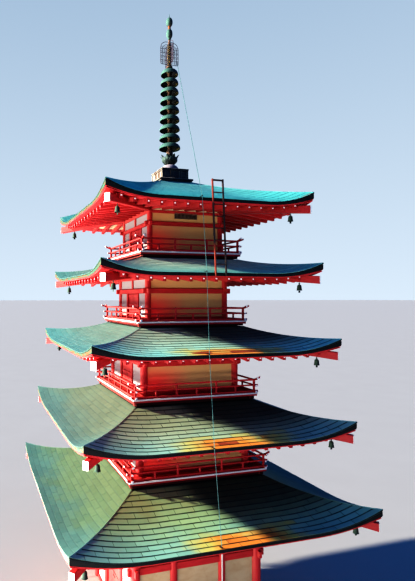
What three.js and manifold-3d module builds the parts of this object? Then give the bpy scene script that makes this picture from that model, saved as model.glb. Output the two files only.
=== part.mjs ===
// A five-storey timber pagoda with curved copper roofs, railed balconies and a bronze spire.
// Millimetres, +Z up. The origin is the middle of the podium's underside, and the front faces -Y.
import * as THREE from "three";
import { mergeVertices } from "three/addons/utils/BufferGeometryUtils.js";
import Module from "manifold-3d";

const wasm = await Module();
wasm.setup();

// Driving dimensions, one row a storey, counted from the ground.
// half: outer edge of the corner posts; post: their radius; floor: top of the floor or balcony;
// deck: half width of the balcony; beam: underside and top of the beam over the door;
// eave: half width of the roof; edge: top of the eave in the middle; lift: rise of its corners;
// slope, sag: the roof's fall at the eave and how fast it steepens; door: half width of the door
const STOREYS = [
  { half: 2030, post: 140, floor: 450, deck: 0, beam: [2540, 2735], eave: 4200, edge: 4200, lift: 360,
    slope: 0.08, sag: 0.000118, door: 640, soffit: 0.15 },
  { half: 1785, post: 115, floor: 5150, deck: 2130, beam: [5970, 6110], eave: 3790, edge: 6420, lift: 360,
    slope: 0.13, sag: 0.000115, door: 500, soffit: 0.14 },
  { half: 1565, post: 105, floor: 7330, deck: 1950, beam: [8150, 8290], eave: 3540, edge: 8690, lift: 310,
    slope: 0.12, sag: 0.0001, door: 470, soffit: 0.14 },
  { half: 1340, post: 90, floor: 9460, deck: 1730, beam: [10270, 10420], eave: 3230, edge: 10785, lift: 320,
    slope: 0.13, sag: 0.0001, door: 440, soffit: 0.13 },
  { half: 1235, post: 80, floor: 11490, deck: 1620, beam: [12295, 12417], eave: 3070, edge: 12770, lift: 340,
    slope: 0.3, sag: 0.000044, door: 440, soffit: 0.13 },
];
const TOP_FLAT = 500;
const ROOF_SKIN = 100;
const CORNER_SKIN = 80;
const EAVE_DEPTH = 150;
const RAFTER_SETBACK = 200;
const FASCIA = 43;
const GAP = 0.3;
const SLAB = 100;
const BASE_HALF = 2750;
const MID_POST = 750;
const MID_RADIUS = 110;
const MAST = 68;

const LACQUER = { color: "#c8321f", roughness: 0.55, metalness: 0 };
const PLASTER = { color: "#e9dcc0", roughness: 0.85, metalness: 0 };
const COPPER = { color: "#7fae98", roughness: 0.65, metalness: 0.2 };
const BRONZE = { color: "#4d5a50", roughness: 0.55, metalness: 0.6 };
const STONE = { color: "#a9a59b", roughness: 0.9, metalness: 0 };
const IRON = { color: "#33201c", roughness: 0.7, metalness: 0.3 };

const pagoda = new THREE.Group();

// Closed solid of a geometry: only its positions are kept, and its faces are turned outwards.
function solid(geometry) {
  const bare = geometry.clone();
  bare.deleteAttribute("normal");
  bare.deleteAttribute("uv");
  const merged = mergeVertices(bare, 0.001);
  const points = merged.attributes.position.array;
  const index = merged.index.array;
  const kept = [];
  let volume = 0;
  for (let i = 0; i < index.length; i += 3) {
    const [a, b, c] = [index[i], index[i + 1], index[i + 2]];
    if (a === b || b === c || c === a) continue;
    kept.push(a, b, c);
    const p = new THREE.Vector3().fromArray(points, a * 3);
    const q = new THREE.Vector3().fromArray(points, b * 3);
    const r = new THREE.Vector3().fromArray(points, c * 3);
    volume += p.dot(q.cross(r));
  }
  if (volume < 0) kept.reverse();
  return new wasm.Manifold(new wasm.Mesh({
    numProp: 3,
    vertProperties: new Float32Array(points),
    triVerts: new Uint32Array(kept),
  }));
}

function geometryOf(body) {
  const mesh = body.getMesh();
  const geometry = new THREE.BufferGeometry();
  geometry.setAttribute("position", new THREE.BufferAttribute(new Float32Array(mesh.vertProperties), 3));
  geometry.setIndex(new THREE.BufferAttribute(new Uint32Array(mesh.triVerts), 1));
  return geometry;
}

function add(name, body, look) {
  const mesh = new THREE.Mesh(geometryOf(body), new THREE.MeshStandardMaterial(look));
  mesh.name = name;
  pagoda.add(mesh);
  return mesh;
}

function join(bodies) {
  return bodies.reduce((whole, body) => whole.add(body));
}

// Block between two corners.
function block(x0, x1, y0, y1, z0, z1) {
  const box = new THREE.BoxGeometry(x1 - x0, y1 - y0, z1 - z0);
  box.translate((x0 + x1) / 2, (y0 + y1) / 2, (z0 + z1) / 2);
  return solid(box);
}

function turned(body, quarter) {
  return body.rotate([0, 0, 90 * quarter]);
}

function fourSides(make) {
  return [0, 1, 2, 3].map((quarter) => turned(make(), quarter));
}

function squareBand(outer, inner, z0, z1) {
  return block(-outer, outer, -outer, outer, z0, z1)
    .subtract(block(-inner, inner, -inner, inner, z0 - 50, z1 + 50));
}

function upright(x, y, radius, z0, z1, sides = 8) {
  const post = new THREE.CylinderGeometry(radius, radius, z1 - z0, sides);
  post.rotateX(Math.PI / 2);
  post.rotateZ(Math.PI / sides);
  post.translate(x, y, (z0 + z1) / 2);
  return solid(post);
}

function spun(profile, sides) {
  const shape = new THREE.LatheGeometry(profile.map(([r, z]) => new THREE.Vector2(r, z)), sides);
  shape.rotateX(Math.PI / 2);
  return solid(shape);
}

// A profile swept round a square plan: a lathe whose circles are pulled out to squares.
// Each profile point has its half width u, its height z and how much of the corner lift it takes.
const ALONG = [-1, -0.84, -0.5, 0.5, 0.84];
function lifted(t) {
  return Math.pow(Math.max(0, Math.abs(t) - 0.5) / 0.5, 2.2);
}
function squareSweep(profile) {
  const steps = ALONG.length * 4;
  const lathe = new THREE.LatheGeometry(profile.map((p) => new THREE.Vector2(p.u, p.z)), steps);
  const place = lathe.attributes.position;
  for (let i = 0; i <= steps; i++) {
    const side = Math.floor((i % steps) / ALONG.length);
    const t = ALONG[i % ALONG.length];
    const turn = side * Math.PI / 2;
    profile.forEach((p, j) => {
      const point = new THREE.Vector3(t * p.u, -p.u, p.z + p.lift * lifted(t));
      point.applyAxisAngle(new THREE.Vector3(0, 0, 1), turn);
      place.setXYZ(i * profile.length + j, point.x, point.y, point.z);
    });
  }
  return solid(lathe);
}

// Height of a roof's top in the middle of a side, and its share of the corner lift.
function roofFlat(k) {
  return k === 4 ? TOP_FLAT : STOREYS[k + 1].deck - 100;
}
function roofTop(k, u) {
  const s = STOREYS[k];
  const run = s.eave - u;
  return s.edge + s.slope * run + s.sag * run * run;
}
function roofShare(k, u) {
  const s = STOREYS[k];
  const share = (u - roofFlat(k)) / (s.eave - roofFlat(k));
  return share <= 0 ? 0 : Math.pow(share, 1.2);
}
function roofLine(k) {
  const s = STOREYS[k];
  const flat = roofFlat(k);
  const run = s.eave - flat;
  const stops = [s.eave, s.eave - 50, s.eave - run * 0.3, s.eave - run * 0.6, flat];
  return stops.map((u) => ({ u, z: roofTop(k, u), lift: s.lift * roofShare(k, u) }));
}
function hole(k) {
  return k === 4 ? 800 : STOREYS[k + 1].half - 300;
}
// Underside of the copper and its boarding: thicker at the corners, as the eave's edge shows.
function underLine(k, drop) {
  return roofLine(k).map((p) => ({
    u: p.u,
    z: p.z - ROOF_SKIN - drop,
    lift: p.lift - CORNER_SKIN * roofShare(k, p.u),
  }));
}

// The copper roof and its boarding. With a drop and a rise the same shape is the tool that cuts
// what lies under it, so that both faces have the same facets.
function roof(k, drop = 0, rise = 0) {
  const top = roofLine(k).map((p) => ({ ...p, z: p.z + rise }));
  const under = underLine(k, drop).reverse();
  const deckZ = roofLine(k).at(-1).z;
  const inner = k === 4 ? 0 : hole(k) - drop;
  const close = k === 4 ? [] : [top[0]];
  const middle = [{ u: inner, z: deckZ + rise, lift: 0 }, { u: inner, z: deckZ - ROOF_SKIN - drop, lift: 0 }];
  const capped = [middle[1], ...under, ...top, middle[0]];
  return squareSweep(k === 4 ? capped : [...top, ...middle, ...under, ...close]);
}

// Underside of the rafters: it rises from the eave to the head of the wall.
function soffitAtWall(k) {
  const s = STOREYS[k];
  return s.edge - ROOF_SKIN - EAVE_DEPTH + s.soffit * (s.eave - s.half);
}

function hipRafter(k) {
  const s = STOREYS[k];
  const root2 = Math.SQRT2;
  const out = (s.eave - 60) * root2;
  const back = (s.half + 20) * root2;
  const tip = s.edge + s.lift;
  const shape = new THREE.Shape();
  shape.moveTo(back, soffitAtWall(k) - 60);
  shape.lineTo(out, tip - 575);
  shape.lineTo(out, tip - 360);
  shape.lineTo(out - 150, tip - 270);
  shape.lineTo(back, soffitAtWall(k) + 100);
  shape.closePath();
  const beam = new THREE.ExtrudeGeometry(shape, { depth: 150, bevelEnabled: false });
  beam.translate(0, 0, -75);
  beam.rotateX(Math.PI / 2);
  beam.rotateZ(-Math.PI / 4);
  return solid(beam);
}

function bell(k) {
  const s = STOREYS[k];
  const u = s.eave - 450;
  const run = (s.eave - 60) - (s.half + 20);
  const fall = (s.edge + s.lift - 575) - (soffitAtWall(k) - 60);
  const z = soffitAtWall(k) - 60 + fall * (u - s.half - 20) / run;
  const body = spun([[0, z + 60], [12, z + 60], [12, z - 35], [54, z - 60], [78, z - 225], [0, z - 205]], 6);
  return body.translate([u, -u, 0]);
}

// Boarded eaves, the four hip rafters and the bells that hang from them. The rafters' depth ends
// inside the edge, and only the boards and a narrow fascia go on from there.
function eaves(k) {
  const s = STOREYS[k];
  const inner = hole(k);
  const wallZ = soffitAtWall(k);
  const rim = s.eave - 50;
  const soffit = (u) => s.edge - ROOF_SKIN - EAVE_DEPTH + s.soffit * (s.eave - u);
  const reach = (u) => Math.pow((u - s.half - 50) / (rim - s.half - 50), 1.2);
  const corner = (s.lift - CORNER_SKIN) * roofShare(k, rim) - 40;
  const mid = (s.eave + s.half) / 2;
  const crown = roofTop(k, inner);
  const ends = s.eave - RAFTER_SETBACK;
  const outer = s.eave - 20;
  const boards = (u) => ({
    u,
    z: roofTop(k, u) - ROOF_SKIN - FASCIA,
    lift: (s.lift - CORNER_SKIN) * roofShare(k, u),
  });
  const ring = squareSweep([
    { u: outer, z: crown, lift: 0 },
    { u: inner, z: crown, lift: 0 },
    { u: inner, z: wallZ, lift: 0 },
    { u: s.half + 50, z: wallZ, lift: 0 },
    { u: mid, z: soffit(mid), lift: corner * reach(mid) },
    { u: ends, z: soffit(ends), lift: corner * reach(ends) },
    boards(ends),
    boards(outer),
    { u: outer, z: crown, lift: 0 },
  ]);
  const cover = roof(k, GAP, 3000);
  return join([ring, ...fourSides(() => hipRafter(k))]).subtract(cover).add(join(fourSides(() => bell(k))));
}

// Posts and beams of one storey, as one joined frame.
function frameParts(k, grow) {
  const s = STOREYS[k];
  const p = s.half - s.post;
  const top = soffitAtWall(k) - GAP;
  const g = grow;
  const bodies = [];
  const beamIn = p - 30 - g;
  const beamOut = p + 70 + g;
  const end = s.half + 90;
  bodies.push(...fourSides(() => upright(-p, -p, s.post + g, s.floor + (g ? -g : GAP), top)));
  bodies.push(squareBand(beamOut, beamIn, s.floor + (g ? -g : GAP), s.floor + 110 + g));
  bodies.push(...fourSides(() => block(-end, end, -beamOut, -beamIn, s.beam[0] - g, s.beam[1] + g)));
  if (k === 0) {
    for (const x of [-MID_POST, MID_POST]) {
      bodies.push(...fourSides(() => upright(x, -p, MID_RADIUS + g, s.floor + (g ? -g : GAP), top)));
    }
  } else {
    for (const side of [1, 3]) {
      for (const x of [-s.door - 55, s.door + 55]) {
        const jamb = block(x - 55 - g, x + 55 + g, -beamOut + 10, -beamIn, s.floor + 50, s.beam[0] + 20);
        bodies.push(turned(jamb, side));
      }
      bodies.push(turned(block(-45 - g, 45 + g, -beamOut + 10, -beamIn, s.beam[1] - 20, top - 60), side));
    }
  }
  return bodies;
}

function walls(k) {
  const s = STOREYS[k];
  const p = s.half - s.post;
  const inner = p - Math.max(s.post, k === 0 ? MID_RADIUS : 0) - 40;
  const ring = squareBand(p + 20, inner, s.floor + GAP, soffitAtWall(k) - GAP);
  const doorHalf = k === 0 ? MID_POST - MID_RADIUS : s.door;
  const openings = [1, 3].map((side) => turned(
    block(-doorHalf - 20, doorHalf + 20, -p - 300, -inner + 300, s.floor + 60, s.beam[0] + 50), side));
  const cut = join(frameParts(k, GAP));
  return ring.subtract(join(openings)).subtract(cut);
}

function door(k, side) {
  const s = STOREYS[k];
  const p = s.half - s.post;
  const half = (k === 0 ? MID_POST - MID_RADIUS : s.door) - GAP;
  const z0 = s.floor + 110 + GAP;
  const z1 = s.beam[0] - GAP;
  const y = -p + 10;
  let leaf = block(-half, half, y - 40, y, z0, z1);
  leaf = leaf.subtract(block(-4, 4, y - 60, y - 25, z0 - 10, z1 + 10));
  return turned(leaf, side);
}

function balcony(k) {
  const s = STOREYS[k];
  const below = roofLine(k - 1).at(-1).z + GAP;
  const slab = block(-s.deck, s.deck, -s.deck, s.deck, s.floor - SLAB, s.floor);
  const beam = squareBand(s.deck - 90, s.deck - 220, below, s.floor - SLAB + 10);
  return slab.add(beam);
}

// One side of the railing: posts and a top rail whose ends turn up past the corner.
function railSide(k) {
  const s = STOREYS[k];
  const u = s.deck - 75;
  const reach = s.deck + 130;
  const z = s.floor + GAP;
  const top = new THREE.Shape();
  top.moveTo(-reach, z + 345 + 60);
  top.lineTo(-reach + 150, z + 345);
  top.lineTo(reach - 150, z + 345);
  top.lineTo(reach, z + 345 + 60);
  top.lineTo(reach, z + 345 + 115);
  top.lineTo(reach - 150, z + 395);
  top.lineTo(-reach + 150, z + 395);
  top.lineTo(-reach, z + 345 + 115);
  top.closePath();
  const rail = new THREE.ExtrudeGeometry(top, { depth: 48, bevelEnabled: false });
  rail.rotateX(Math.PI / 2);
  rail.translate(0, -u + 24, 0);
  const bodies = [
    solid(rail),
    block(-u - 24, -u + 24, -u - 24, -u + 24, z + 40, z + 360),
  ];
  for (const f of [-1 / 3, 1 / 3]) {
    const x = 2 * u * f / 2;
    bodies.push(block(x - 26, x + 26, -u - 24, -u + 24, z + 40, z + 360));
  }
  return bodies;
}

function railing(k) {
  const s = STOREYS[k];
  const u = s.deck - 75;
  const z = s.floor + GAP;
  const bands = [squareBand(u + 24, u - 24, z, z + 60), squareBand(u + 24, u - 24, z + 190, z + 232)];
  return join([...bands, ...[0, 1, 2, 3].flatMap((side) => railSide(k).map((body) => turned(body, side)))]);
}

function podium() {
  const slab = block(-BASE_HALF, BASE_HALF, -BASE_HALF, BASE_HALF, 370, 450);
  const core = block(-BASE_HALF + 60, BASE_HALF - 60, -BASE_HALF + 60, BASE_HALF - 60, 0, 375);
  const plinth = block(-BASE_HALF, BASE_HALF, -BASE_HALF, BASE_HALF, 0, 100);
  const steps = [1, 3].flatMap((side) => [
    turned(block(-800, 800, -BASE_HALF - 330, -BASE_HALF + 100, 0, 300), side),
    turned(block(-800, 800, -BASE_HALF - 660, -BASE_HALF - 300, 0, 150), side),
  ]);
  return join([slab, core, plinth, ...steps]);
}

function ventGrille() {
  const s = STOREYS[4];
  const face = -(s.half - s.post + 20) - GAP;
  let grille = block(-370, 370, face - 30, face, 12520, 12700);
  for (let i = 0; i < 10; i++) {
    const x = -315 + i * 70;
    grille = grille.subtract(block(x - 22, x + 22, face - 60, face - 12, 12548, 12672));
  }
  return grille;
}

// Ladder from the fourth eave up past the fifth, hooked over the lower eave.
const RUNG_FOOT = 310;
const RUNG_STEP = 318;
function ladder() {
  const foot = new THREE.Vector3(0, -3275, 10700);
  const head = new THREE.Vector3(0, -3105, 13270);
  const lean = head.clone().sub(foot);
  const tilt = Math.atan2(lean.y, lean.z);
  const bodies = [];
  for (const x of [-152, 152]) {
    const stile = new THREE.BoxGeometry(36, 50, lean.length());
    stile.rotateX(-tilt);
    stile.translate(x, (foot.y + head.y) / 2, (foot.z + head.z) / 2);
    bodies.push(solid(stile));
    const seat = roofTop(3, 3190) + GAP;
    bodies.push(block(x - 18, x + 18, -3280, -3190, seat, seat + 20));
  }
  for (let i = 0; i < 8; i++) {
    const f = (RUNG_FOOT + i * RUNG_STEP) / lean.length();
    const at = foot.clone().add(lean.clone().multiplyScalar(f));
    bodies.push(block(-150, 150, at.y - 14, at.y + 14, at.z - 14, at.z + 14));
  }
  return join(bodies);
}

// Rod between two points, rounded at its ends.
function rod(a, b, radius) {
  const [start, end] = [a, b].map((p) => new THREE.Vector3(...p));
  const along = end.clone().sub(start);
  const bar = new THREE.CapsuleGeometry(radius, along.length(), 2, 8);
  const upward = new THREE.Vector3(0, 1, 0);
  bar.applyQuaternion(new THREE.Quaternion().setFromUnitVectors(upward, along.normalize()));
  bar.translate(...start.add(end).multiplyScalar(0.5).toArray());
  return solid(bar);
}

// Lightning wire from the flame down the front, in a clip over the edge of each roof.
const WIRE_RADIUS = 7;
function lightningWire() {
  const xs = [-520, -510, -500, -400, -440];
  const clips = [];
  const route = [[255, -20.4, 17950]];
  for (const k of [4, 3, 2, 1, 0]) {
    const out = k === 0 ? -40 : 20;
    const y = -(STOREYS[k].eave + out);
    const [, b, c] = roofLine(k);
    const seat = b.z + (c.z - b.z) * 40 / (b.u - c.u) + GAP;
    route.push([xs[k], y, seat + 9]);
    clips.push(block(xs[k] - 18, xs[k] + 18, y - 6, -(STOREYS[k].eave - 90), seat, seat + 9));
  }
  const parts = route.slice(1).map((point, i) => rod(route[i], point, WIRE_RADIUS));
  return join([...parts, ...clips]);
}

// The wire goes on under the lowest eave and down the right middle post in a pipe.
function downPipe() {
  const s = STOREYS[0];
  const face = -(s.half - s.post + MID_RADIUS * Math.cos(Math.PI / 8)) - GAP;
  const x = MID_POST - 45;
  const y = face - 34;
  const under = s.edge - ROOF_SKIN - EAVE_DEPTH + s.soffit * 230 - 2 * GAP;
  const top = soffitAtWall(0) - 80;
  const clamps = [1000, 2000, 3000, 3900].map((z) => block(x - 5, x + 55, y, face, z - 20, z + 20));
  return join([
    upright(x, y, 22, s.floor + GAP, top),
    rod([x, y, top - 20], [x, y, top + 15], WIRE_RADIUS),
    rod([x, y, top + 15], [-520, -s.eave + 250, under - 15], WIRE_RADIUS),
    block(-540, -500, -s.eave + 230, -s.eave + 270, under - 20, under),
    ...clamps,
  ]);
}

function spireBase() {
  const flat = roofLine(4).at(-1).z + GAP;
  return join([
    block(-540, 540, -540, 540, flat, flat + 55),
    block(-570, 570, -570, 570, flat + 50, flat + 100),
    block(-450, 450, -450, 450, flat + 95, 14235),
    block(-465, 465, -465, 465, 14230, 14270),
  ]);
}

// Dome and bowl; the bowl's wall spreads into the lotus petals.
function spireBowl() {
  return spun([[0, 14270 + GAP], [280, 14270 + GAP], [282, 14340], [256, 14420], [195, 14480], [125, 14508],
    [150, 14530], [214, 14565], [240, 14620], [238, 14690], [262, 14745], [312, 14800], [296, 14808],
    [220, 14740], [110, 14715], [110, 14800], [0, 14800]], 12);
}

// Mast with nine rings. A ring is a dome like a lid, hollow below.
function spireRings() {
  const line = [[0, 14800 + GAP], [105, 14800 + GAP], [105, 14960], [MAST, 15000]];
  for (let i = 0; i < 9; i++) {
    const z = 15104 + i * 305.5;
    const r = 344 - i * 8;
    line.push([MAST, z + 42], [r * 0.62, z + 30], [r - 16, z - 95], [r, z - 95], [r * 0.95, z - 8],
      [r * 0.62, z + 80], [MAST, z + 112]);
  }
  line.push([MAST, 17680], [100, 17700], [100, 17745], [50, 17780], [50, 18540], [33, 18590], [33, 19100]);
  line.push([0, 19100]);
  return spun(line, 10);
}

// Openwork flame: a sleeve on the mast with four upright screens.
function spireFlame() {
  const hub = 66;
  const fin = new THREE.Shape();
  fin.moveTo(hub - 6, 17810);
  fin.lineTo(240, 17800);
  fin.lineTo(314, 17825);
  fin.lineTo(320, 18010);
  fin.lineTo(316, 18360);
  fin.lineTo(286, 18475);
  fin.lineTo(222, 18545);
  fin.lineTo(135, 18570);
  fin.lineTo(100, 18500);
  fin.lineTo(hub - 6, 18460);
  fin.closePath();
  for (const [x, z, w, h] of [[176, 17930, 78, 80], [190, 18115, 82, 72], [178, 18300, 80, 80]]) {
    const gap = new THREE.Path();
    gap.moveTo(x - w, z);
    gap.lineTo(x, z - h);
    gap.lineTo(x + w, z);
    gap.lineTo(x, z + h);
    gap.closePath();
    fin.holes.push(gap);
  }
  const plate = new THREE.ExtrudeGeometry(fin, { depth: 26, bevelEnabled: false });
  plate.rotateX(Math.PI / 2);
  plate.translate(0, 13, 0);
  const sleeve = spun([[51, 17790], [68, 17790], [68, 18500], [51, 18500], [51, 17790]], 10);
  return join([sleeve, ...fourSides(() => solid(plate))]);
}

// Jewel in two parts, with a pointed tip.
function spireJewel() {
  const core = spun([[0, 17800], [33.5, 17800], [33.5, 19100 + GAP], [0, 19100 + GAP]], 10);
  return spun([[0, 18640], [50, 18640], [50, 18680], [92, 18745], [102, 18850], [84, 18940], [50, 18985],
    [50, 19085], [88, 19135], [108, 19225], [98, 19310], [40, 19370], [12, 19390], [8, 19500], [0, 19500]],
    10).subtract(core);
}

function build() {
  add("podium", podium(), STONE);
  STOREYS.forEach((s, k) => {
    const n = k + 1;
    if (k > 0) add(`balcony_${n}`, balcony(k), LACQUER);
    add(`frame_${n}`, join(frameParts(k, 0)), LACQUER);
    add(`walls_${n}`, walls(k), PLASTER);
    add(`door_left_${n}`, door(k, 3), LACQUER);
    add(`door_right_${n}`, door(k, 1), LACQUER);
    if (k > 0) add(`railing_${n}`, railing(k), LACQUER);
    add(`eaves_${n}`, eaves(k), LACQUER);
    add(`roof_${n}`, roof(k), COPPER);
  });
  add("vent_grille", ventGrille(), IRON);
  add("ladder", ladder(), IRON);
  add("lightning_wire", lightningWire(), IRON);
  add("down_pipe", downPipe(), IRON);
  add("spire_base", spireBase(), BRONZE);
  add("spire_bowl", spireBowl(), BRONZE);
  add("spire_rings", spireRings(), BRONZE);
  add("spire_flame", spireFlame(), BRONZE);
  add("spire_jewel", spireJewel(), BRONZE);
}

build();

export default pagoda;
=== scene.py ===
# %% [markdown]
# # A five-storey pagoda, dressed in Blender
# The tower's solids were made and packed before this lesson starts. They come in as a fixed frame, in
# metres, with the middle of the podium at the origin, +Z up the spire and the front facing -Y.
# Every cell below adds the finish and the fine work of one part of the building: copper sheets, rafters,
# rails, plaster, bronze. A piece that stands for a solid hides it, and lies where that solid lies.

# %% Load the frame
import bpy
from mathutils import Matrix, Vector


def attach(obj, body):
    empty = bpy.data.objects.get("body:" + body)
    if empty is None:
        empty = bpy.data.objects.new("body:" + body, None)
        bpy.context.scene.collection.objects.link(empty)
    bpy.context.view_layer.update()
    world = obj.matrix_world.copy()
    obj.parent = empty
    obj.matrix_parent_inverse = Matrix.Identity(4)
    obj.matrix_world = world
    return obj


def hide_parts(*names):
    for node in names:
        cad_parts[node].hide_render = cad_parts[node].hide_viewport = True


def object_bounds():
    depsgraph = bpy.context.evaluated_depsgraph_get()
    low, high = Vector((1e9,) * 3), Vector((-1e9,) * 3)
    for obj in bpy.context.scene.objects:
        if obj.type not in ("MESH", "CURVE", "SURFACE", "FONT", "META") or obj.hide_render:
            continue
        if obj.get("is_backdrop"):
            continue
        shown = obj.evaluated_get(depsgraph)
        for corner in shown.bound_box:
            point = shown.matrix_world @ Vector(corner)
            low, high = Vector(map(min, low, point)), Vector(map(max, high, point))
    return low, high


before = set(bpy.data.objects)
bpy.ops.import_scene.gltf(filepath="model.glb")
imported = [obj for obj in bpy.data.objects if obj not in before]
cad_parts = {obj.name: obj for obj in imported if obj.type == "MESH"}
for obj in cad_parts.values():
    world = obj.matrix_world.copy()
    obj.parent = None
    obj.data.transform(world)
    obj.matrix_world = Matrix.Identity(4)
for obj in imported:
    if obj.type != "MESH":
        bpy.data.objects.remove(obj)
cad_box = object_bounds()
print("solids:", len(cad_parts), "box:", [round(v, 3) for corner in cad_box for v in corner])

# %% Libraries
import math
import random

import bpy
from mathutils import Vector

SEED = 5
random.seed(SEED)
print("random draws start from seed", SEED)

# %% [markdown]
# ## The camera
# The photograph was taken level with the upper storeys, a little to the left of the front, and the tower
# stands left of the middle of the picture. A camera turned straight at the tower would bend its uprights,
# so the eye looks past it to the right and the picture is shifted, only as far as the framing needs.
# Focal length and shift are given in pixels of the picture's long side, because that is how they were
# measured.

# %% Set up the camera
LONG_SIDE, FOCAL, SHIFT = 581, 470.2, 102.5
EYE_DISTANCE, EYE_HEIGHT = 15.5, 10.11
BEARING, YAW, PITCH = math.radians(23.74), math.radians(15.87), math.radians(1.01)
camera_data = bpy.data.cameras.new("photo_camera")
camera_data.sensor_width = 36.0
camera_data.lens = FOCAL / LONG_SIDE * camera_data.sensor_width
camera_data.shift_x = SHIFT / LONG_SIDE
camera_data.clip_end = 9000


def placed(name, data):
    """Makes an object of a mesh, a lamp or a camera and puts it into the scene."""
    made = bpy.data.objects.new(name, data)
    bpy.context.scene.collection.objects.link(made)
    return made


camera = placed("photo_camera", camera_data)
bpy.context.scene.camera = camera
camera.location = (-EYE_DISTANCE * math.sin(BEARING), -EYE_DISTANCE * math.cos(BEARING), EYE_HEIGHT)
gaze = Vector((math.sin(YAW) * math.cos(PITCH), math.cos(YAW) * math.cos(PITCH), math.sin(PITCH)))
camera.rotation_euler = gaze.to_track_quat("-Z", "Y").to_euler()
print("lens", round(camera_data.lens, 2), "mm, camera at", [round(v, 2) for v in camera.location])

# %% [markdown]
# ## The tower's measurements
# A pagoda repeats one storey five times, each smaller than the one below. One row of numbers a storey is
# enough, and every piece is worked out from it, so that the pieces meet. In a row: half is the outer edge
# of the corner posts and post their radius; floor is the floor's top and deck the half width of the
# balcony; beam is the head beam's underside and top; eave, edge and lift are the half width of the roof,
# the height of its edge and the rise of its corners; slope and sag bend the roof; door is half the door;
# soffit is how much the rafters fall for each metre outward.

# %% The storeys
STOREYS = [
    dict(half=2.03, post=0.14, floor=0.45, deck=0.0, beam=(2.54, 2.735), eave=4.2, edge=4.2,
         lift=0.36, slope=0.08, sag=0.118, door=0.64, soffit=0.15),
    dict(half=1.785, post=0.115, floor=5.15, deck=2.13, beam=(5.97, 6.11), eave=3.79, edge=6.42,
         lift=0.36, slope=0.13, sag=0.115, door=0.5, soffit=0.14),
    dict(half=1.565, post=0.105, floor=7.33, deck=1.95, beam=(8.15, 8.29), eave=3.54, edge=8.69,
         lift=0.31, slope=0.12, sag=0.1, door=0.47, soffit=0.14),
    dict(half=1.34, post=0.09, floor=9.46, deck=1.73, beam=(10.27, 10.42), eave=3.23, edge=10.785,
         lift=0.32, slope=0.13, sag=0.1, door=0.44, soffit=0.13),
    dict(half=1.235, post=0.08, floor=11.49, deck=1.62, beam=(12.295, 12.417), eave=3.07, edge=12.77,
         lift=0.34, slope=0.3, sag=0.044, door=0.44, soffit=0.13),
]
TOP = len(STOREYS) - 1
TOP_FLAT, UNDER_DECK = 0.5, 0.1
ROOF_SKIN, CORNER_SKIN, EAVE_DEPTH, RAFTER_DEEP = 0.1, 0.08, 0.15, 0.135
FRONT, RIGHT, BACK, LEFT = range(4)


def roof_flat(k):
    """Half width of the level middle of a roof, which the base box or the next balcony covers."""
    return TOP_FLAT if k == TOP else STOREYS[k + 1]["deck"] - UNDER_DECK


def corner_share(k, u):
    """How much of the corner's rise the roof has at a distance u from the tower's axis."""
    share = (u - roof_flat(k)) / (STOREYS[k]["eave"] - roof_flat(k))
    return max(0.0, share) ** 1.2


def swept_up(t):
    """The rise along a side, t from -1 to 1: level in the middle, steep at the corners."""
    return max(0.0, (abs(t) - 0.5) / 0.5) ** 2.2


def roof_height(k, x, u):
    """Height of the copper on a side, x along the eave and u out from the axis."""
    s = STOREYS[k]
    run = s["eave"] - u
    rise = s["lift"] * corner_share(k, u) * swept_up(x / u)
    return s["edge"] + s["slope"] * run + s["sag"] * run * run + rise


def skin(k, x, u):
    """Thickness of copper and boards, thicker towards the corners."""
    return ROOF_SKIN + CORNER_SKIN * corner_share(k, u) * swept_up(x / u)


def soffit_level(k, u):
    """Underside of the rafters in the middle of a side, where the eave is level."""
    s = STOREYS[k]
    return s["edge"] - ROOF_SKIN - EAVE_DEPTH + s["soffit"] * (s["eave"] - u)


def rafter_foot(k, x, u):
    """Underside of the rafters, which follow the eave up at the corners."""
    s = STOREYS[k]
    wall, rim = s["half"] + 0.05, s["eave"] - 0.05
    reach = max(0.0, (u - wall) / (rim - wall)) ** 1.2
    corner = (s["lift"] - CORNER_SKIN) * corner_share(k, rim) - 0.04
    return soffit_level(k, u) + corner * reach * swept_up(x / u)


def wall_head(k):
    return soffit_level(k, STOREYS[k]["half"])


for k, s in enumerate(STOREYS):
    print("storey", k + 1, "walls", 2 * s["half"], "m, roof", 2 * s["eave"], "m, wall head",
          round(wall_head(k), 3))

# %% [markdown]
# ## A bench to build on
# Every piece is put together from corners and faces on a bench, then turned into one mesh. Modifiers or
# primitives would do for one post, but a tower has thousands of sheets, rafters and boards, and a list of
# corners is quick to fill. The four sides are alike, so everything is drawn for the front and the bench
# turns it. Each corner carries two marks of three numbers that the finishes read: which board or sheet it
# belongs to, and where it lies on it. All shapes are closed, as the real parts are.

# %% The bench
QUARTER_TURNS = ((1, 0), (0, 1), (-1, 0), (0, -1))
SHARP_EDGE = math.radians(35)


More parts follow.
